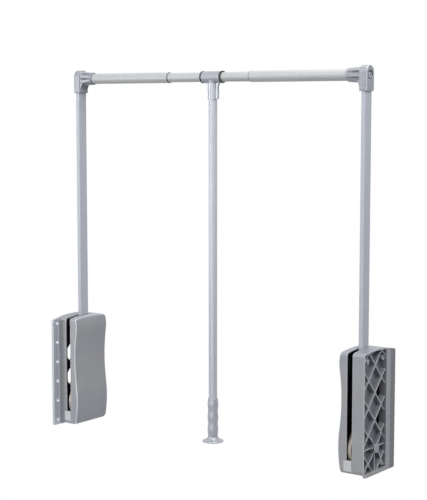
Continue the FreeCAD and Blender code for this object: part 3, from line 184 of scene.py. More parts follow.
class Finish:
    """The shader of a material or of the world, under construction."""

    def __init__(self, owner):
        self.owner = owner
        owner.use_nodes = True
        self.tree = owner.node_tree
        self.tree.nodes.clear()

    def node(self, kind, settings=None, inputs=None):
        """Add a node: its settings first, then the value or link of each socket."""
        made = self.tree.nodes.new(kind)
        for name, setting in (settings or {}).items():
            setattr(made, name, setting)
        for name, value in (inputs or {}).items():
            if isinstance(value, Value):
                self.tree.links.new(value.socket, made.inputs[name])
            else:
                made.inputs[name].default_value = value
        return Step(self, made)

    def maths(self, operation, *terms):
        return self.node("ShaderNodeMath", {"operation": operation}, dict(enumerate(terms))).out(0)

    def below(self, value, limit):
        """1 where the value is under the limit, else 0."""
        return self.maths("LESS_THAN", value, limit)

    def least(self, value, limit):
        return self.maths("MINIMUM", value, limit)

    def most(self, value, limit):
        return self.maths("MAXIMUM", value, limit)

    def size(self, value):
        return self.maths("ABSOLUTE", value)

    def ramp(self, value, start, end):
        """0 before the start and 1 past the end, straight between them."""
        inputs = {"Value": value, "From Min": start, "From Max": end, "To Min": 0.0, "To Max": 1.0}
        return self.node("ShaderNodeMapRange", {"clamp": True}, inputs).out("Result")

    def mix(self, share, first, second):
        """A colour between two, by the share.  The Mix node's colour sockets are told by number."""
        factor, first_colour, second_colour, mixed_colour = 0, 6, 7, 2
        inputs = {factor: share, first_colour: first, second_colour: second}
        return self.node("ShaderNodeMix", {"data_type": "RGBA"}, inputs).out(mixed_colour)

    def tone(self, share, grey, spread, tint):
        """A tinted grey that moves by the spread to either side as the share goes from 0 to 1."""
        return self.mix(share, shade(grey - spread, tint), shade(grey + spread, tint))

    def spot(self, stretch=(1, 1, 1)):
        """Object coordinates, stretched along each axis."""
        where = self.node("ShaderNodeTexCoord").out("Object")
        return self.node("ShaderNodeMapping", None, {"Vector": where, "Scale": stretch}).out("Vector")

    def axes(self):
        """The three object coordinates as separate values."""
        where = self.node("ShaderNodeTexCoord").out("Object")
        split = self.node("ShaderNodeSeparateXYZ", None, {"Vector": where})
        return split.out("X"), split.out("Y"), split.out("Z")

    def own(self, name):
        """A value that the mesh carries for every point."""
        return self.node("ShaderNodeAttribute", {"attribute_name": name}).out("Fac")

    def noise(self, where, scale, detail=3.0, roughness=0.5):
        """Noise from 0 to 1."""
        values = {"Vector": where, "Scale": scale, "Detail": detail, "Roughness": roughness}
        return self.node("ShaderNodeTexNoise", None, values).out("Fac")

    def soft_edge(self, radius, samples=4):
        """Normals that run round the edges within this radius; none for a mesh with its own rounding."""
        if radius is None:
            return None
        return self.node("ShaderNodeBevel", {"samples": samples}, {"Radius": radius}).out("Normal")

    def crest(self, radius):
        """1 along the edges, 0 away from them: how far an edge-rounded normal turns from the face's own."""
        own_normal = self.node("ShaderNodeNewGeometry").out("Normal")
        normals = {0: self.soft_edge(radius, samples=6), 1: own_normal}
        alike = self.node("ShaderNodeVectorMath", {"operation": "DOT_PRODUCT"}, normals).out("Value")
        return self.ramp(1 - alike, 0.01, 0.14)

    def rounding(self):
        """1 on the fillets round a face that looks along X.

        It is the square of the normal's X part, times what that square leaves of one.
        """
        facing = self.node("ShaderNodeNewGeometry").out("Normal")
        aside = self.node("ShaderNodeSeparateXYZ", None, {"Vector": facing}).out("X")
        return self.ramp(aside * aside * (1 - aside * aside), 0.06, 0.2)

    def bump(self, height, strength, distance, normal=None):
        inputs = {"Height": height, "Strength": strength, "Distance": distance}
        if normal is not None:
            inputs["Normal"] = normal
        return self.node("ShaderNodeBump", None, inputs).out("Normal")

    def paint(self):
        """Noises of silver paint: its metallic grain, its dust, and the share that tones the colour."""
        where = self.spot()
        flow = self.noise(where, 22.0)
        grain = self.noise(where, 1900.0, 2.0)
        dust = self.noise(where, 160.0, 5.0, 0.62)
        return grain, dust, 0.62 * flow + 0.24 * dust + 0.14 * grain

    def surface(self, colour, rough, normal, metal=0.0, specular=0.5):
        """The closing shader."""
        inputs = {"Base Color": colour, "Roughness": rough, "Normal": normal, "Metallic": metal,
                  "Specular IOR Level": specular}
        shader = self.node("ShaderNodeBsdfPrincipled", None, inputs).out("BSDF")
        self.node("ShaderNodeOutputMaterial", None, {"Surface": shader})
        return self.owner


def new_finish(name):
    return Finish(bpy.data.materials.new(name))


def shade(grey, tint=(1, 1, 1)):
    """A linear colour from a screen grey of 0 to 255 and a tint."""
    value = np.asarray(tint, float) * grey / 255
    linear = np.where(value <= 0.04045, value / 12.92, ((value + 0.055) / 1.055) ** 2.4)
    return (*(float(part) for part in linear), 1.0)


# ---------------------------------------------------------------- finishes

COOL = (0.968, 0.985, 1.035)
WARM = (0.995, 0.995, 0.99)
ROD_TINT = (0.985, 1.0, 1.012)
PAINT_METAL, PAINT_ROUGH, PAINT_DUST = 0.28, 0.36, 0.12
OUTER_FACE = HALF_WIDTH - 0.03  # an elbow's face lies farther out than this

# The housings.  "across" runs from the arm's plane to either side, "reach" from the wall plane inwards.
CROWN_TOP, CROWN_RADIUS = 0.2625, 0.3
HOLLOW_ACROSS, HOLLOW_FOOT, CROWN_WALL = 0.0518, 0.0087, 0.0029
POCKET_TOP, POCKET_DEEP, POCKET_FLOOR = 0.006, 0.0145, 0.0172
WAIST_Z, WAIST_REACH, WAIST_CURVE = 0.158, 0.0535, 1.14
BULGE_REACH = 0.06
LOW_BULGE_Z, LOW_BULGE_CURVE = 0.062, 1.9
HIGH_BULGE_Z, HIGH_BULGE_CURVE = 0.235, 6.8
FLANGE_ACROSS, FLANGE_ROOT, FLANGE_ROOT_WIDE, FLANGE_REACH = 0.0546, 0.0552, 0.0007, 0.01
WALL_SKIN, FLANGE_SKIN = 0.0003, 0.0005


def silver_moulding(name, grey, edge=0.0006, groove_shade_grey=None, edge_highlight_grey=None, rough=PAINT_ROUGH,
                    relief=0.05):
    """Plastic painted satin silver: a fine metallic grain, faint flow marks and softened edges.

    With a groove shade grey the paint darkens towards it as painted shade where the piece's own painted_shade
    attribute rises.  With an edge highlight grey it is brightened along the rounded edges of its outer face
    as a painted highlight.
    """
    f = new_finish(name)
    grain, dust, share = f.paint()
    colour = f.tone(share, grey, 6, COOL)
    if edge_highlight_grey is not None:
        outer = f.below(OUTER_FACE, f.size(f.axes()[0]))
        # painted highlight: the outer face's fillets are brightened in the colour
        colour = f.mix(0.8 * f.rounding() * outer, colour, shade(edge_highlight_grey, COOL))
    if groove_shade_grey is not None:
        # painted shade: the flutes, the screw seat and the box's inner edge are darkened in the colour
        colour = f.mix(f.own("painted_shade"), colour, shade(groove_shade_grey, COOL))
    normal = f.bump(grain + 0.7 * dust, relief, 0.0002, f.soft_edge(edge))
    return f.surface(colour, rough + PAINT_DUST * dust, normal, PAINT_METAL)


def stem_moulding(name, shaded_sleeve_grey, highlit_stem_grey):
    """The T connector's moulding: its stem under the sleeve comes polished and lighter as a painted
    highlight, the sleeve satin and darker as painted shade.
    """
    f = new_finish(name)
    grain, dust, share = f.paint()
    stem = f.ramp(f.axes()[2], ROD_Z - 12.5 * MM, ROD_Z - 14.5 * MM)
    # painted light: the stem lighter as a painted highlight, the sleeve darker as painted shade
    colour = f.mix(stem, f.tone(share, shaded_sleeve_grey, 8, COOL), f.tone(share, highlit_stem_grey, 6, COOL))
    rough = PAINT_ROUGH + PAINT_DUST * dust - 0.18 * stem
    normal = f.bump(grain + 0.7 * dust, 0.12, 0.0002, f.soft_edge(0.0006))
    return f.surface(colour, rough, normal, PAINT_METAL)


def housing_paint(name, grey, pocket_shade_grey):
    """A housing's shells, painted satin silver.

    Inside the slot the colour turns near black as painted shade.  In the ribbed pockets it darkens with depth
    and on the flanges' wall-side faces it is darker, both as painted shade; on the flanges' inner faces it is
    lighter as painted light, and along the edges it is brightened as a painted highlight.  The hollow behind
    the wavy cover ends at its skin, whose reach is the lesser
    of two curves: the waist's reach plus a square, and the bulges' reach less a square below the low
    bulge and another above the high one.
    """
    f = new_finish(name)
    grain, dust, share = f.paint()
    x, y, z = f.axes()
    reach, across = HALF_WIDTH - f.size(x), f.size(y)

    up = z - (CROWN_TOP - CROWN_RADIUS)
    under_crown = f.below(f.maths("SQRT", y * y + up * up), CROWN_RADIUS - CROWN_WALL)
    within = f.below(across, HOLLOW_ACROSS) * under_crown * f.below(HOLLOW_FOOT, z)
    waist, low, high = z - WAIST_Z, f.least(z - LOW_BULGE_Z, 0.0), f.most(z - HIGH_BULGE_Z, 0.0)
    bulges = BULGE_REACH - LOW_BULGE_CURVE * low * low - HIGH_BULGE_CURVE * high * high
    skin = f.least(WAIST_REACH + WAIST_CURVE * waist * waist, bulges)
    hollow = within * f.below(POCKET_FLOOR, reach) * f.below(reach, skin)
    pocket = within * f.below(reach, POCKET_FLOOR) * f.ramp(reach + 0.002 * dust, POCKET_TOP, POCKET_DEEP)
    on_flange = f.below(FLANGE_ACROSS, across)
    back = f.below(reach, WALL_SKIN) * on_flange
    inner_face = f.below(FLANGE_SKIN, reach) * f.below(reach, FLANGE_REACH)
    root = f.below(f.size(across - FLANGE_ROOT), FLANGE_ROOT_WIDE) * inner_face

    cast = f.noise(f.spot((1, 2, 7)), 2.0, 2.0)
    paint = f.mix(0.8 * f.ramp(cast, 0.44, 0.62), f.tone(share, grey, 8, COOL), f.tone(share, grey, 8, WARM))
    # painted light: the flanges' inner faces are lighter, lifting their shade
    flange_painted_light = f.mix(0.8 * inner_face * on_flange, paint, shade(grey + 44, COOL))
    # painted shade: the pockets darken with depth and the flanges' wall-side faces are darker
    painted = f.mix(f.most(pocket, back), flange_painted_light, f.tone(share, pocket_shade_grey, 8, COOL))
    # painted highlight: edges, fillets and flange roots are brightened in the colour
    gleam = f.most(f.most(f.crest(2 * MM), f.rounding()), root) * (1 - pocket) * f.below(back, 0.5)
    edge_highlit = f.mix(0.75 * gleam, painted, shade(grey + 84, COOL))
    # painted shade: inside the slot the colour turns near black
    colour = f.mix(hollow, edge_highlit, f.mix(share, shade(17), shade(26)))
    rough = PAINT_ROUGH + PAINT_DUST * dust + 0.1 * pocket + 0.12 * hollow
    metal = PAINT_METAL - PAINT_METAL * hollow - 0.14 * pocket
    normal = f.bump(grain + 0.7 * dust, 0.16, 0.00022, f.soft_edge(0.0007))
    return f.surface(colour, rough, normal, metal)


def drawn_metal(name, grey, axis, metal, rough, tint=COOL, edge=0.0003, drawn=0.08, spread=8,
                mouth_shade_grey=None):
    """Extruded or drawn metal: long fine lines along the axis, as strong as drawn says, under a satin coat.

    With a mouth shade grey the cut end is darkened as painted shade where the piece's own painted_shade
    attribute says so.
    """
    f = new_finish(name)
    along = {"X": (6, 900, 900), "Z": (900, 900, 6)}[axis]
    lines = f.noise(f.spot(along), 1.0, 2.0, 0.6)
    cloud = f.noise(f.spot(), 34.0)
    colour = f.tone(0.55 * lines + 0.45 * cloud, grey, spread, tint)
    if mouth_shade_grey is not None:
        # painted shade at the tube's cut end
        colour = f.mix(f.own("painted_shade"), colour, shade(mouth_shade_grey))
    normal = f.bump(lines, drawn, 0.0001, f.soft_edge(edge))
    return f.surface(colour, rough - 0.05 + 0.1 * lines, normal, metal)


def plain_plastic(name, grey, tint=(1, 1, 1), rough=0.45):
    """Unpainted moulded plastic with a fine spark-eroded grain."""
    f = new_finish(name)
    where = f.spot()
    grain = f.noise(where, 1400.0)
    cloud = f.noise(where, 45.0)
    colour = f.tone(0.5 * grain + 0.5 * cloud, grey, 5, tint)
    normal = f.bump(grain, 0.12, 0.0002, f.soft_edge(0.0004))
    return f.surface(colour, rough - 0.06 + 0.12 * grain, normal, specular=0.45)


def turned_steel(name, grey, tint=(1, 1, 1), rough=0.34, metal=0.85, groove_shade_grey=None):
    """Zinc-plated steel: cloudy plating over fine scratches, darkened as painted shade where the
    painted_shade attribute rises.
    """
    f = new_finish(name)
    cloud = f.noise(f.spot(), 120.0, 4.0, 0.6)
    scratch = f.noise(f.spot((1, 14, 1)), 400.0, 2.0)
    colour = f.mix(0.6 * cloud + 0.4 * scratch, shade(grey - 14, tint), shade(grey + 12, tint))
    if groove_shade_grey is not None:
        # painted shade in recesses such as the screw's cross
        colour = f.mix(f.own("painted_shade"), colour, shade(groove_shade_grey, tint))
    normal = f.bump(scratch, 0.1, 0.0001, f.soft_edge(0.0003))
    return f.surface(colour, rough - 0.06 + 0.14 * scratch, normal, metal)


# the housing's second grey is the painted shade of its pockets and flange backs
HOUSING = housing_paint("housing_silver", 146, 110)
FITTING = silver_moulding("fitting_silver", 164)
# the corner's groove grey is painted shade and its edge grey a painted highlight
CORNER = silver_moulding("corner_silver", 148, edge=None, groove_shade_grey=92, edge_highlight_grey=208)
# the sleeve's grey is darkened as painted shade and the stem's lightened as a painted highlight
TEE = stem_moulding("tee_silver", 152, 184)
GRIP = silver_moulding("grip_silver", 166, edge=None, rough=0.24, relief=0.01)
CLOSURE = plain_plastic("closure_pale", 192, (0.99, 0.995, 1.01))
ARM = drawn_metal("arm_coating", 178, "Z", 0.1, 0.5, (0.962, 0.985, 1.04))
ROD = drawn_metal("rod_aluminium", 171, "X", 0.15, 0.42, ROD_TINT, None, 0.012, 3)
# the outer rods' mouths are painted dark as shade
OUTER_ROD = drawn_metal("outer_rod_aluminium", 171, "X", 0.15, 0.42, ROD_TINT, None, 0.012, 3, mouth_shade_grey=52)
HANDLE_ROD = drawn_metal("handle_aluminium", 186, "Z", 0.2, 0.32, edge=None, drawn=0.02, spread=5)
BLACK = plain_plastic("ring_black", 30, rough=0.4)
NATURAL = plain_plastic("inner_natural", 214, (1, 0.985, 0.94))
DISC = turned_steel("disc_passivated", 165, (1, 0.955, 0.885), rough=0.42, metal=0.45)
STEEL = turned_steel("bright_zinc", 190)
# the screw's groove grey is painted shade in its cross recess
SCREW = turned_steel("screw_zinc", 176, (0.95, 0.98, 1.05), groove_shade_grey=34)

FINISH_OF = {
    "wall_shell": HOUSING, "cover": HOUSING, "slot_closure": CLOSURE, "pivot_axle": STEEL,
    "thrust_washers": NATURAL, "shell_screws": STEEL, "torsion_spring": STEEL, "hub_disc": DISC,
    "pivot_bush": NATURAL, "arm_tube": ARM, "arm_rivets": STEEL, "elbow": FITTING, "elbow_ring": BLACK,
    "elbow_screw": STEEL, "rod_plug": NATURAL, "outer_tube": ROD, "centre_tube": ROD, "t_connector": TEE,
    "t_connector_rings": BLACK, "handle_rod": HANDLE_ROD, "handle_pin": FITTING, "handle_grip": GRIP,
}


def dress_cad_nodes():
    """Every CAD piece takes its own finish."""
    for name, node in nodes.items():
        kind = name.removeprefix("left_").removeprefix("right_")
        for place in node.material_slots:
            place.link = "OBJECT"
            place.material = FINISH_OF[kind]


# ---------------------------------------------------------------- rod and handle


def make_tube(name, node, axis, finish, body, wall, mouth_at=None):
    """A drawn tube as long as its CAD piece: a closed profile with rounded lips, carried round its axis.

    The end nearer to mouth_at, if given, is darkened as painted shade over its last millimetre, inside and
    outside.
    """
    low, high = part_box(node)
    run = "XYZ".index(axis)
    centre = (0, 0, ROD_Z)[run]
    start, end = low[run] - centre, high[run] - centre
    outside = (high[1] - low[1]) / 2
    inside = outside - wall
    profile = rounded([(start, inside), (end, inside), (end, outside), (start, outside)], 0.3 * MM)
    painted_shade = np.zeros(len(profile))
    if mouth_at is not None:
        mouth, inward = (start, MM) if abs(start - mouth_at) < abs(end - mouth_at) else (end, -MM)
        marks = np.sort(mouth + inward * np.array([1.0, 1.15]))
        bore = np.column_stack([marks, np.full(2, inside)])
        skin = np.column_stack([marks[::-1], np.full(2, outside)])
        profile = np.concatenate([profile[:ARC], bore, profile[ARC:3 * ARC], skin, profile[3 * ARC:]])
        # painted shade over the mouth's last millimetre
        painted_shade = (np.abs(profile[:, 0] - mouth) < 1.05 * MM).astype(float)
    faces = grid_faces(len(profile), ROUND, wrap_rows=True)
    new_piece(name, node, turn(profile, axis), faces, finish, body, np.repeat(painted_shade, ROUND))


def make_tubes():
    make_tube("centre_rod", "centre_tube", "X", ROD, "rod_centre", 1.3 * MM)
    for side in SIGN:
        make_tube(f"{side}_outer_rod", f"{side}_outer_tube", "X", OUTER_ROD, f"arm_{side}", 1.45 * MM, 0.0)
    make_tube("pull_rod", "handle_rod", "Z", HANDLE_ROD, "handle", 1.2 * MM)


def make_grip():
    """Grip with three bulges over a foot that flares like a trumpet.

    The bulges are a waist plus a swell times the square of sin(3 pi t).  The flare falls from its rim to the
    throat as the power 2.6 of the way left.
    """
    waist, swell, shoulder_round = 11.05 * MM, 1.05 * MM, 1.2 * MM
    bore, bore_depth = 9.52 * MM, 6 * MM
    throat_height, throat_overlap, throat_radius = 12 * MM, 2 * MM, 10.9 * MM
    flare_height, flare_radius, flare_power = 2.6 * MM, 24.2 * MM, 2.6
    rim_radius, rim_half, rim_bulge = 22.9 * MM, 1.3 * MM, 1.35 * MM
    sole_radius, sole_hollow, sole_depth = 9 * MM, 7.5 * MM, 1.2 * MM

    low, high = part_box("handle_grip")
    foot, top = low[2] - ROD_Z, high[2] - ROD_Z
    swell_start, swell_end = foot + throat_height + throat_overlap, top - shoulder_round
    share = np.linspace(0, 1, 91)
    bulges = np.stack([swell_start + share * (swell_end - swell_start),
                       waist + swell * np.sin(3 * np.pi * share) ** 2], 1)
    angle = np.linspace(0, np.pi / 2, 9)
    shoulder = np.stack([swell_end + shoulder_round * np.sin(angle),
                         waist - shoulder_round + shoulder_round * np.cos(angle)], 1)
    mouth = np.array([[top, bore], [top - bore_depth, bore], [top - bore_depth, CLOSED]])
    fall = np.linspace(0, 1, 21)
    flare = np.stack([foot + flare_height + fall * (swell_start - foot - flare_height),
                      throat_radius + (flare_radius - throat_radius) * (1 - fall) ** flare_power], 1)
    angle = np.linspace(0, np.pi, 9)
    rim = np.stack([foot + rim_half - rim_half * np.cos(angle), rim_radius + rim_bulge * np.sin(angle)], 1)
    sole = np.array([[foot + sole_depth, CLOSED], [foot + sole_depth, sole_hollow], [foot, sole_radius]])
    profile = np.concatenate([sole, rim, flare[1:], bulges, shoulder[1:], mouth])
    faces = grid_faces(len(profile), ROUND, wrap_rows=True)
    new_piece("pull_grip", "handle_grip", turn(profile, "Z"), faces, GRIP, "handle")


# ---------------------------------------------------------------- elbows

ELBOW_FACE, ELBOW_BACK = 25 * MM, 43 * MM  # the box's faces, from the wall plane
ELBOW_HALF, ELBOW_FOOT, HEAD_LIFT = 15 * MM, 33 * MM, 5 * MM  # its side view, from the rod's axis
ELBOW_EDGE = 1.6 * MM
RECESS = 3.5 * MM  # depth of the screw's seat under the outer face
SOCKET_ROOT, SOCKET_MOUTH, MOUTH_REACH = 16.5 * MM, 13.9 * MM, 76 * MM
WEB_ACROSS, WEB_TOPS = (-12, -4, 4, 12), (-10.9, -13, -13, -10.9)  # in millimetres
WEB_THICK, WEB_EDGE = 2.4 * MM, 0.5 * MM


def box_reach(angle, inset):
    """Distance from the rod axis to the elbow's side view.

    The view has upright sides, a round head and a flat foot.  Side and foot meet through a power mean of
    their inverse distances, which rounds the corner.
    """
    half, foot, sharpness = ELBOW_HALF - inset, ELBOW_FOOT - inset, 26.0
    sine, cosine = np.abs(np.sin(angle)), np.cos(angle)
    side = half / np.maximum(sine, 1e-6)
    floor = foot / np.maximum(-cosine, 1e-6)
    corner = (side**-sharpness + floor**-sharpness) ** (-1 / sharpness)
    arc = HEAD_LIFT * cosine + np.sqrt(half**2 - (HEAD_LIFT * sine) ** 2)
    return np.where(half * cosine > HEAD_LIFT * sine, arc, corner)


def quarter(start, end, hollow=False):
    """A quarter round between two places of a path; hollow ones bend the other way."""
    angle = np.linspace(0, np.pi / 2, ARC)[1:]
    first, second = (1 - np.cos(angle), np.sin(angle)) if hollow else (np.sin(angle), 1 - np.cos(angle))
    (a, b), (c, d) = start, end
    return [(a + (c - a) * f, b + (d - b) * s) for f, s in zip(first, second)]


def elbow_angles():
    """Angles round the rod axis: even steps, and closer ones at the two corners of the foot."""
    even_steps, close_steps, close_half = 288, 13, 0.09
    corner = np.arctan2(ELBOW_HALF, -ELBOW_FOOT)
    close = np.linspace(-close_half, close_half, close_steps)
    even = np.linspace(0, 2 * np.pi, even_steps, endpoint=False)
    return np.unique(np.concatenate([even, corner + close, 2 * np.pi - corner + close]))


def elbow_sheet(angle):
    """Rings of the elbow round the rod axis: reach from the wall plane, radius, and how much painted shade
    each takes.

    They run from the screw recess over the outer face, the side and the inner face of the box, along the
    fluted socket and back through its bore.  A flute is the part of a round cutter that reaches into
    the socket: the square root of r^2 - (R sin(a))^2, for a cutter of radius r at the socket's radius R.
    """
    seat, seat_radius, seat_round, seat_lip = ELBOW_FACE + RECESS, 10 * MM, 0.6 * MM, 0.5 * MM
    # painted shade on the screw seat, its lip and the box's inner edge
    seat_shade, lip_shade, back_shade = 0.5, 0.2, 0.4
    flutes, flutes_turned, cutter_radius, cutter_share = 7, np.radians(12), 2.6 * MM, 0.7
    flute_start, flute_end, flute_fade, flute_fall, deepest = 1.6 * MM, 3 * MM, 1.6 * MM, 20 * MM, 1.3 * MM
    root_swell, root_fall, first_past, last_left, lip = 1.4 * MM, 0.8 * MM, 0.28 * MM, 0.32 * MM, 0.25 * MM
    ring_radius, ring_depth, bore, bore_start = 13.25 * MM, 2.6 * MM, 12.05 * MM, 5.5 * MM
    rings = []

    def ring(reach, radius, painted_shade=0.0):
        rings.append([np.broadcast_to(value, angle.shape) for value in (reach, radius, painted_shade)])

    ring(seat, CLOSED, seat_shade)
    start, end = (seat, seat_radius - seat_round), (seat - seat_round, seat_radius)
    ring(*start, seat_shade)
    for reach, radius in quarter(start, end, hollow=True):
        ring(reach, radius, seat_shade)
    start, end = (ELBOW_FACE + seat_lip, seat_radius), (ELBOW_FACE, seat_radius + seat_lip)
    ring(*start, lip_shade)
    for reach, radius in quarter(start, end):
        ring(reach, radius)

    rim = box_reach(angle, ELBOW_EDGE)
    for share in (0.3, 0.65, 1.0):
        ring(ELBOW_FACE, seat_radius + seat_lip + (rim - seat_radius - seat_lip) * share)
    bend = np.linspace(0, np.pi / 2, 6)
    for a in bend[1:]:
        ring(ELBOW_FACE + ELBOW_EDGE * (1 - np.cos(a)), box_reach(angle, ELBOW_EDGE * (1 - np.sin(a))))
    for a in bend:
        inset = ELBOW_EDGE * (1 - np.cos(a))
        ring(ELBOW_BACK - ELBOW_EDGE * (1 - np.sin(a)), box_reach(angle, inset), back_shade * np.sin(a))
    for share in (0.4, 0.8, 1.0):
        ring(ELBOW_BACK, rim + (np.minimum(SOCKET_ROOT + root_swell, rim) - rim) * share)

    step = 2 * np.pi / flutes
    off = (angle - flutes_turned + step / 2) % step - step / 2
    cutter = np.sqrt(np.clip(cutter_radius**2 - (SOCKET_ROOT * np.sin(off)) ** 2, 0, None)) * cutter_share
    length = MOUTH_REACH - ELBOW_BACK
    for along in np.linspace(0, 1, 30):
        past = first_past + along * (length - first_past - last_left)
        left = length - past
        swell = root_swell * np.exp(-((past / root_fall) ** 2))
        plain = SOCKET_ROOT + (SOCKET_MOUTH - SOCKET_ROOT) * along + swell
        ends = np.clip(np.minimum(past - flute_start, left - flute_end) / flute_fade, 0, 1)
        cut = cutter * np.sin(ends * np.pi / 2) * np.clip(left / flute_fall, 0.55, 1)
        # painted shade: each flute darkens with its depth
        ring(ELBOW_BACK + past, np.minimum(plain, rim) - cut, cut / deepest)

    for reach, radius in quarter((MOUTH_REACH - lip, SOCKET_MOUTH), (MOUTH_REACH, SOCKET_MOUTH - lip)):
        ring(reach, radius)
    ring(MOUTH_REACH, ring_radius)
    ring(MOUTH_REACH - ring_depth, ring_radius)
    ring(MOUTH_REACH - ring_depth, bore)
    ring(ELBOW_FACE + bore_start, bore)
    ring(ELBOW_FACE + bore_start, CLOSED)
    return np.array(rings)


def web_outline(top):
    """Gusset in the angle of the elbow, in millimetres: its free edge is a hollow arc from the foot to the
    socket, cut off at the top."""
    hidden_edge, radius = 38.0, 28.0
    foot_reach, foot, socket_reach, socket = 43.8, -33.0, 51.0, -10.9
    first, last = np.array([foot_reach, foot]), np.array([socket_reach, socket])
    chord = last - first
    length = np.hypot(*chord)
    right = np.array([chord[1], -chord[0]]) / length
    centre = (first + last) / 2 + right * np.sqrt(radius**2 - length**2 / 4)
    begin, end = np.unwrap([np.arctan2(*(spot - centre)[::-1]) for spot in (first, last)])
    angle = np.linspace(begin, end, 61)
    height = centre[1] + radius * np.sin(angle)
    angle = np.linspace(begin, np.interp(top, height, angle), 15)
    arc = centre + radius * np.stack([np.cos(angle), np.sin(angle)], 1)
    return np.concatenate([[[hidden_edge, foot]], arc, [[hidden_edge, top]]])


def slab(outline, thick, edge):
    """A plate with rounded rims: its outline, moved in along its own normals near each face, and two caps."""
    before, after = np.roll(outline, 1, axis=0), np.roll(outline, -1, axis=0)
    ahead = unit(unit(after - outline) + unit(outline - before))
    area = np.sum(outline[:, 0] * after[:, 1] - outline[:, 1] * after[:, 0])
    inward = np.stack([-ahead[:, 1], ahead[:, 0]], 1) * np.sign(area)
    rows = []
    for a in np.linspace(0, np.pi / 2, 4):
        rows.append((edge * (1 - np.sin(a)), -thick / 2 + edge * (1 - np.cos(a))))
    rows += [(shift, -height) for shift, height in reversed(rows)]
    count = len(outline)
    sheets = []
    for shift, height in rows:
        sheets.append(np.column_stack([outline + inward * shift, np.full(count, height)]))
    last = (len(rows) - 1) * count
    faces = grid_faces(len(rows), count)
    faces.append(list(range(count))[::-1])
    faces.append([last + number for number in range(count)])
    return np.concatenate(sheets), faces


def make_elbow(side):
    """Elbow: its sheet round the rod axis, and four gussets."""
    angle = elbow_angles()
    rings = elbow_sheet(angle)
    reach, radius, painted_shade = rings[:, 0], rings[:, 1], rings[:, 2]
    sheet = side_place(side, reach, radius * np.sin(angle), ROD_Z + radius * np.cos(angle))
    faces = grid_faces(len(rings), len(angle), wrap_rows=True)
    points = sheet.reshape(-1, 3)
    for across, top in zip(WEB_ACROSS, WEB_TOPS):
        web, web_faces = slab(web_outline(top) * MM, WEB_THICK, WEB_EDGE)
        placed = side_place(side, web[:, 0], web[:, 2] + across * MM, ROD_Z + web[:, 1])
        faces += [tuple(len(points) + corner for corner in face) for face in web_faces]
        points = np.concatenate([points, placed])
    painted_shade = np.concatenate([painted_shade.ravel(), np.zeros(len(points) - painted_shade.size)])
    new_piece(f"{side}_corner", f"{side}_elbow", points, faces, CORNER, f"arm_{side}", painted_shade)


def make_elbow_screw(side):
    """Pan head with a cross recess.

    Its face is a low dome, and the recess is the larger of two bars' depth profiles, each a smooth step
    across the bar and along it.
    """
    radius, height, rim_share, recess, turned, columns = 6 * MM, 3 * MM, 0.62, 2.2 * MM, 0.5, 128
    bar_half, bar_fade, bar_wide, wide_fade = 3.8 * MM, 1.2 * MM, 1.05 * MM, 0.35 * MM
    seat = ELBOW_FACE + RECESS
    share = np.concatenate([[0.0015], np.linspace(0.02, 1, 46)])[:, None]
    angle = np.linspace(0, 2 * np.pi, columns, endpoint=False)[None, :]
    dome = height * (rim_share + (1 - rim_share) * np.sqrt(np.clip(1 - share**2, 0, 1)))

    def bar(long, wide):
        fade = np.clip((bar_half - np.abs(long)) / bar_fade, 0, 1)
        side_fade = np.clip((bar_wide - np.abs(wide)) / wide_fade, 0, 1)
        return np.minimum(fade, side_fade)

    first, second = radius * share * np.cos(angle), radius * share * np.sin(angle)
    cut = np.maximum(bar(first, second), bar(second, first))
    across, up = radius * share * np.cos(angle + turned), radius * share * np.sin(angle + turned)
    level = np.full((1, columns), seat)
    face = side_place(side, seat - dome + recess * cut, across, ROD_Z + up)
    under = side_place(side, level, across[-1:], ROD_Z + up[-1:])
    middle = side_place(side, level, across[:1], ROD_Z + up[:1])
    rings = np.concatenate([face, under, middle])
    # painted shade: the cross recess darkens with its depth
    painted_shade = np.concatenate([cut, np.zeros((2, columns))]).ravel()
    faces = grid_faces(len(rings), columns, wrap_rows=True)
    new_piece(f"{side}_corner_screw", f"{side}_elbow_screw", rings, faces, SCREW, f"arm_{side}", painted_shade)


# ---------------------------------------------------------------- studio

CAMERA_PLACE, CAMERA_AHEAD, CAMERA_LENS = (1.7877, -2.4297, 0.7608), (-0.58900, 0.80123, -0.10540), 98.27
FLOOR_HALF, FLOOR_Z, FLOOR_COLOUR = 30.0, -1.0, (0.45, 0.45, 0.45, 1)
SKY_COLOUR, SKY_STRENGTH = (0.93, 0.96, 1.0, 1), 0.36
WHITE = (1, 1, 1, 1)
LAMPS = (
    # name, place, target, width, watts, height of a strip
    ("left", (-1.6, -1.6, 0.6), (-0.35, 0, 0.3), 1.2, 15, None),
    ("upper_left", (-1.4, -1.8, 1.8), (-0.3, 0, 0.5), 1.4, 7, None),
    ("right", (1.9, -0.6, 2.2), (0.3, 0, 0.7), 1.4, 41, None),
    ("front", (-0.1, -1.1, 1.5), (-0.1, 0, 0.8), 0.9, 4, None),
    ("top", (0.1, 0.2, 2.7), (0, 0, 0.6), 1.6, 28, None),
    ("strip", (0.45, -2.4, 0.3), (-0.1, 0, 0.4), 0.22, 14, 2.0),
)


def make_camera():
    """The viewpoint: a long lens from the front right, slightly below the rod."""
    data = bpy.data.cameras.new("camera")
    data.sensor_width = 36
    data.lens = CAMERA_LENS
    data.clip_end = 100
    camera = bpy.data.objects.new("camera", data)
    bpy.context.scene.collection.objects.link(camera)
    camera.location = CAMERA_PLACE
    camera.rotation_euler = Vector(CAMERA_AHEAD).to_track_quat("-Z", "Y").to_euler()
    bpy.context.scene.camera = camera


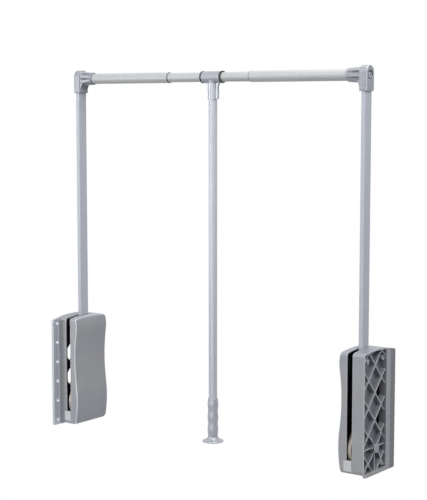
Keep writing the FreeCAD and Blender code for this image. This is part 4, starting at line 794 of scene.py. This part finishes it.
def make_lamp(name, place, target, width, watts, height):
    """A soft white lamp: a disc of the given width, or an upright strip when it has a height."""
    data = bpy.data.lights.new(name, "AREA")
    data.shape = "RECTANGLE" if height else "DISK"
    data.size = width
    if height:
        data.size_y = height
    data.energy = watts
    lamp = bpy.data.objects.new(name, data)
    bpy.context.scene.collection.objects.link(lamp)
    lamp.location = place
    lamp.rotation_euler = (Vector(target) - Vector(place)).to_track_quat("-Z", "Y").to_euler()


def seen_directly(f):
    """1 for rays from the camera, off glossy faces or through clear ones, 0 for soft light."""
    path = f.node("ShaderNodeLightPath")
    return path.out("Is Camera Ray") + path.out("Is Glossy Ray") + path.out("Is Transmission Ray")


def make_floor():
    """A floor well below the handle's lowest reach, white to the eye and grey to the soft light."""
    f = new_finish("studio_white")
    grey = f.node("ShaderNodeBsdfDiffuse", None, {"Color": FLOOR_COLOUR}).out("BSDF")
    glow = f.node("ShaderNodeEmission", None, {"Color": WHITE, "Strength": 1.0}).out("Emission")
    mixed = f.node("ShaderNodeMixShader", None, {0: seen_directly(f), 1: grey, 2: glow}).out("Shader")
    f.node("ShaderNodeOutputMaterial", None, {"Surface": mixed})
    mesh = bpy.data.meshes.new("floor")
    corners = [(x * FLOOR_HALF, y * FLOOR_HALF, FLOOR_Z) for x, y in ((-1, -1), (1, -1), (1, 1), (-1, 1))]
    mesh.from_pydata(corners, [], [(0, 1, 2, 3)])
    mesh.materials.append(f.owner)
    floor = bpy.data.objects.new("floor", mesh)
    bpy.context.scene.collection.objects.link(floor)


def make_sky():
    """A world that is white to the eye and a soft pale blue as a light."""
    world = bpy.data.worlds.new("studio")
    bpy.context.scene.world = world
    f = Finish(world)
    soft, white = (
        f.node("ShaderNodeBackground", None, {"Color": colour, "Strength": strength}).out("Background")
        for colour, strength in ((SKY_COLOUR, SKY_STRENGTH), (WHITE, 1.0))
    )
    mixed = f.node("ShaderNodeMixShader", None, {0: seen_directly(f), 1: soft, 2: white}).out("Shader")
    f.node("ShaderNodeOutputWorld", None, {"Surface": mixed})


dress_cad_nodes()
make_tubes()
make_grip()
for side in SIGN:
    make_elbow(side)
    make_elbow_screw(side)
make_camera()
make_floor()
make_sky()
for lamp in LAMPS:
    make_lamp(*lamp)
bpy.context.scene.view_settings.view_transform = "Standard"
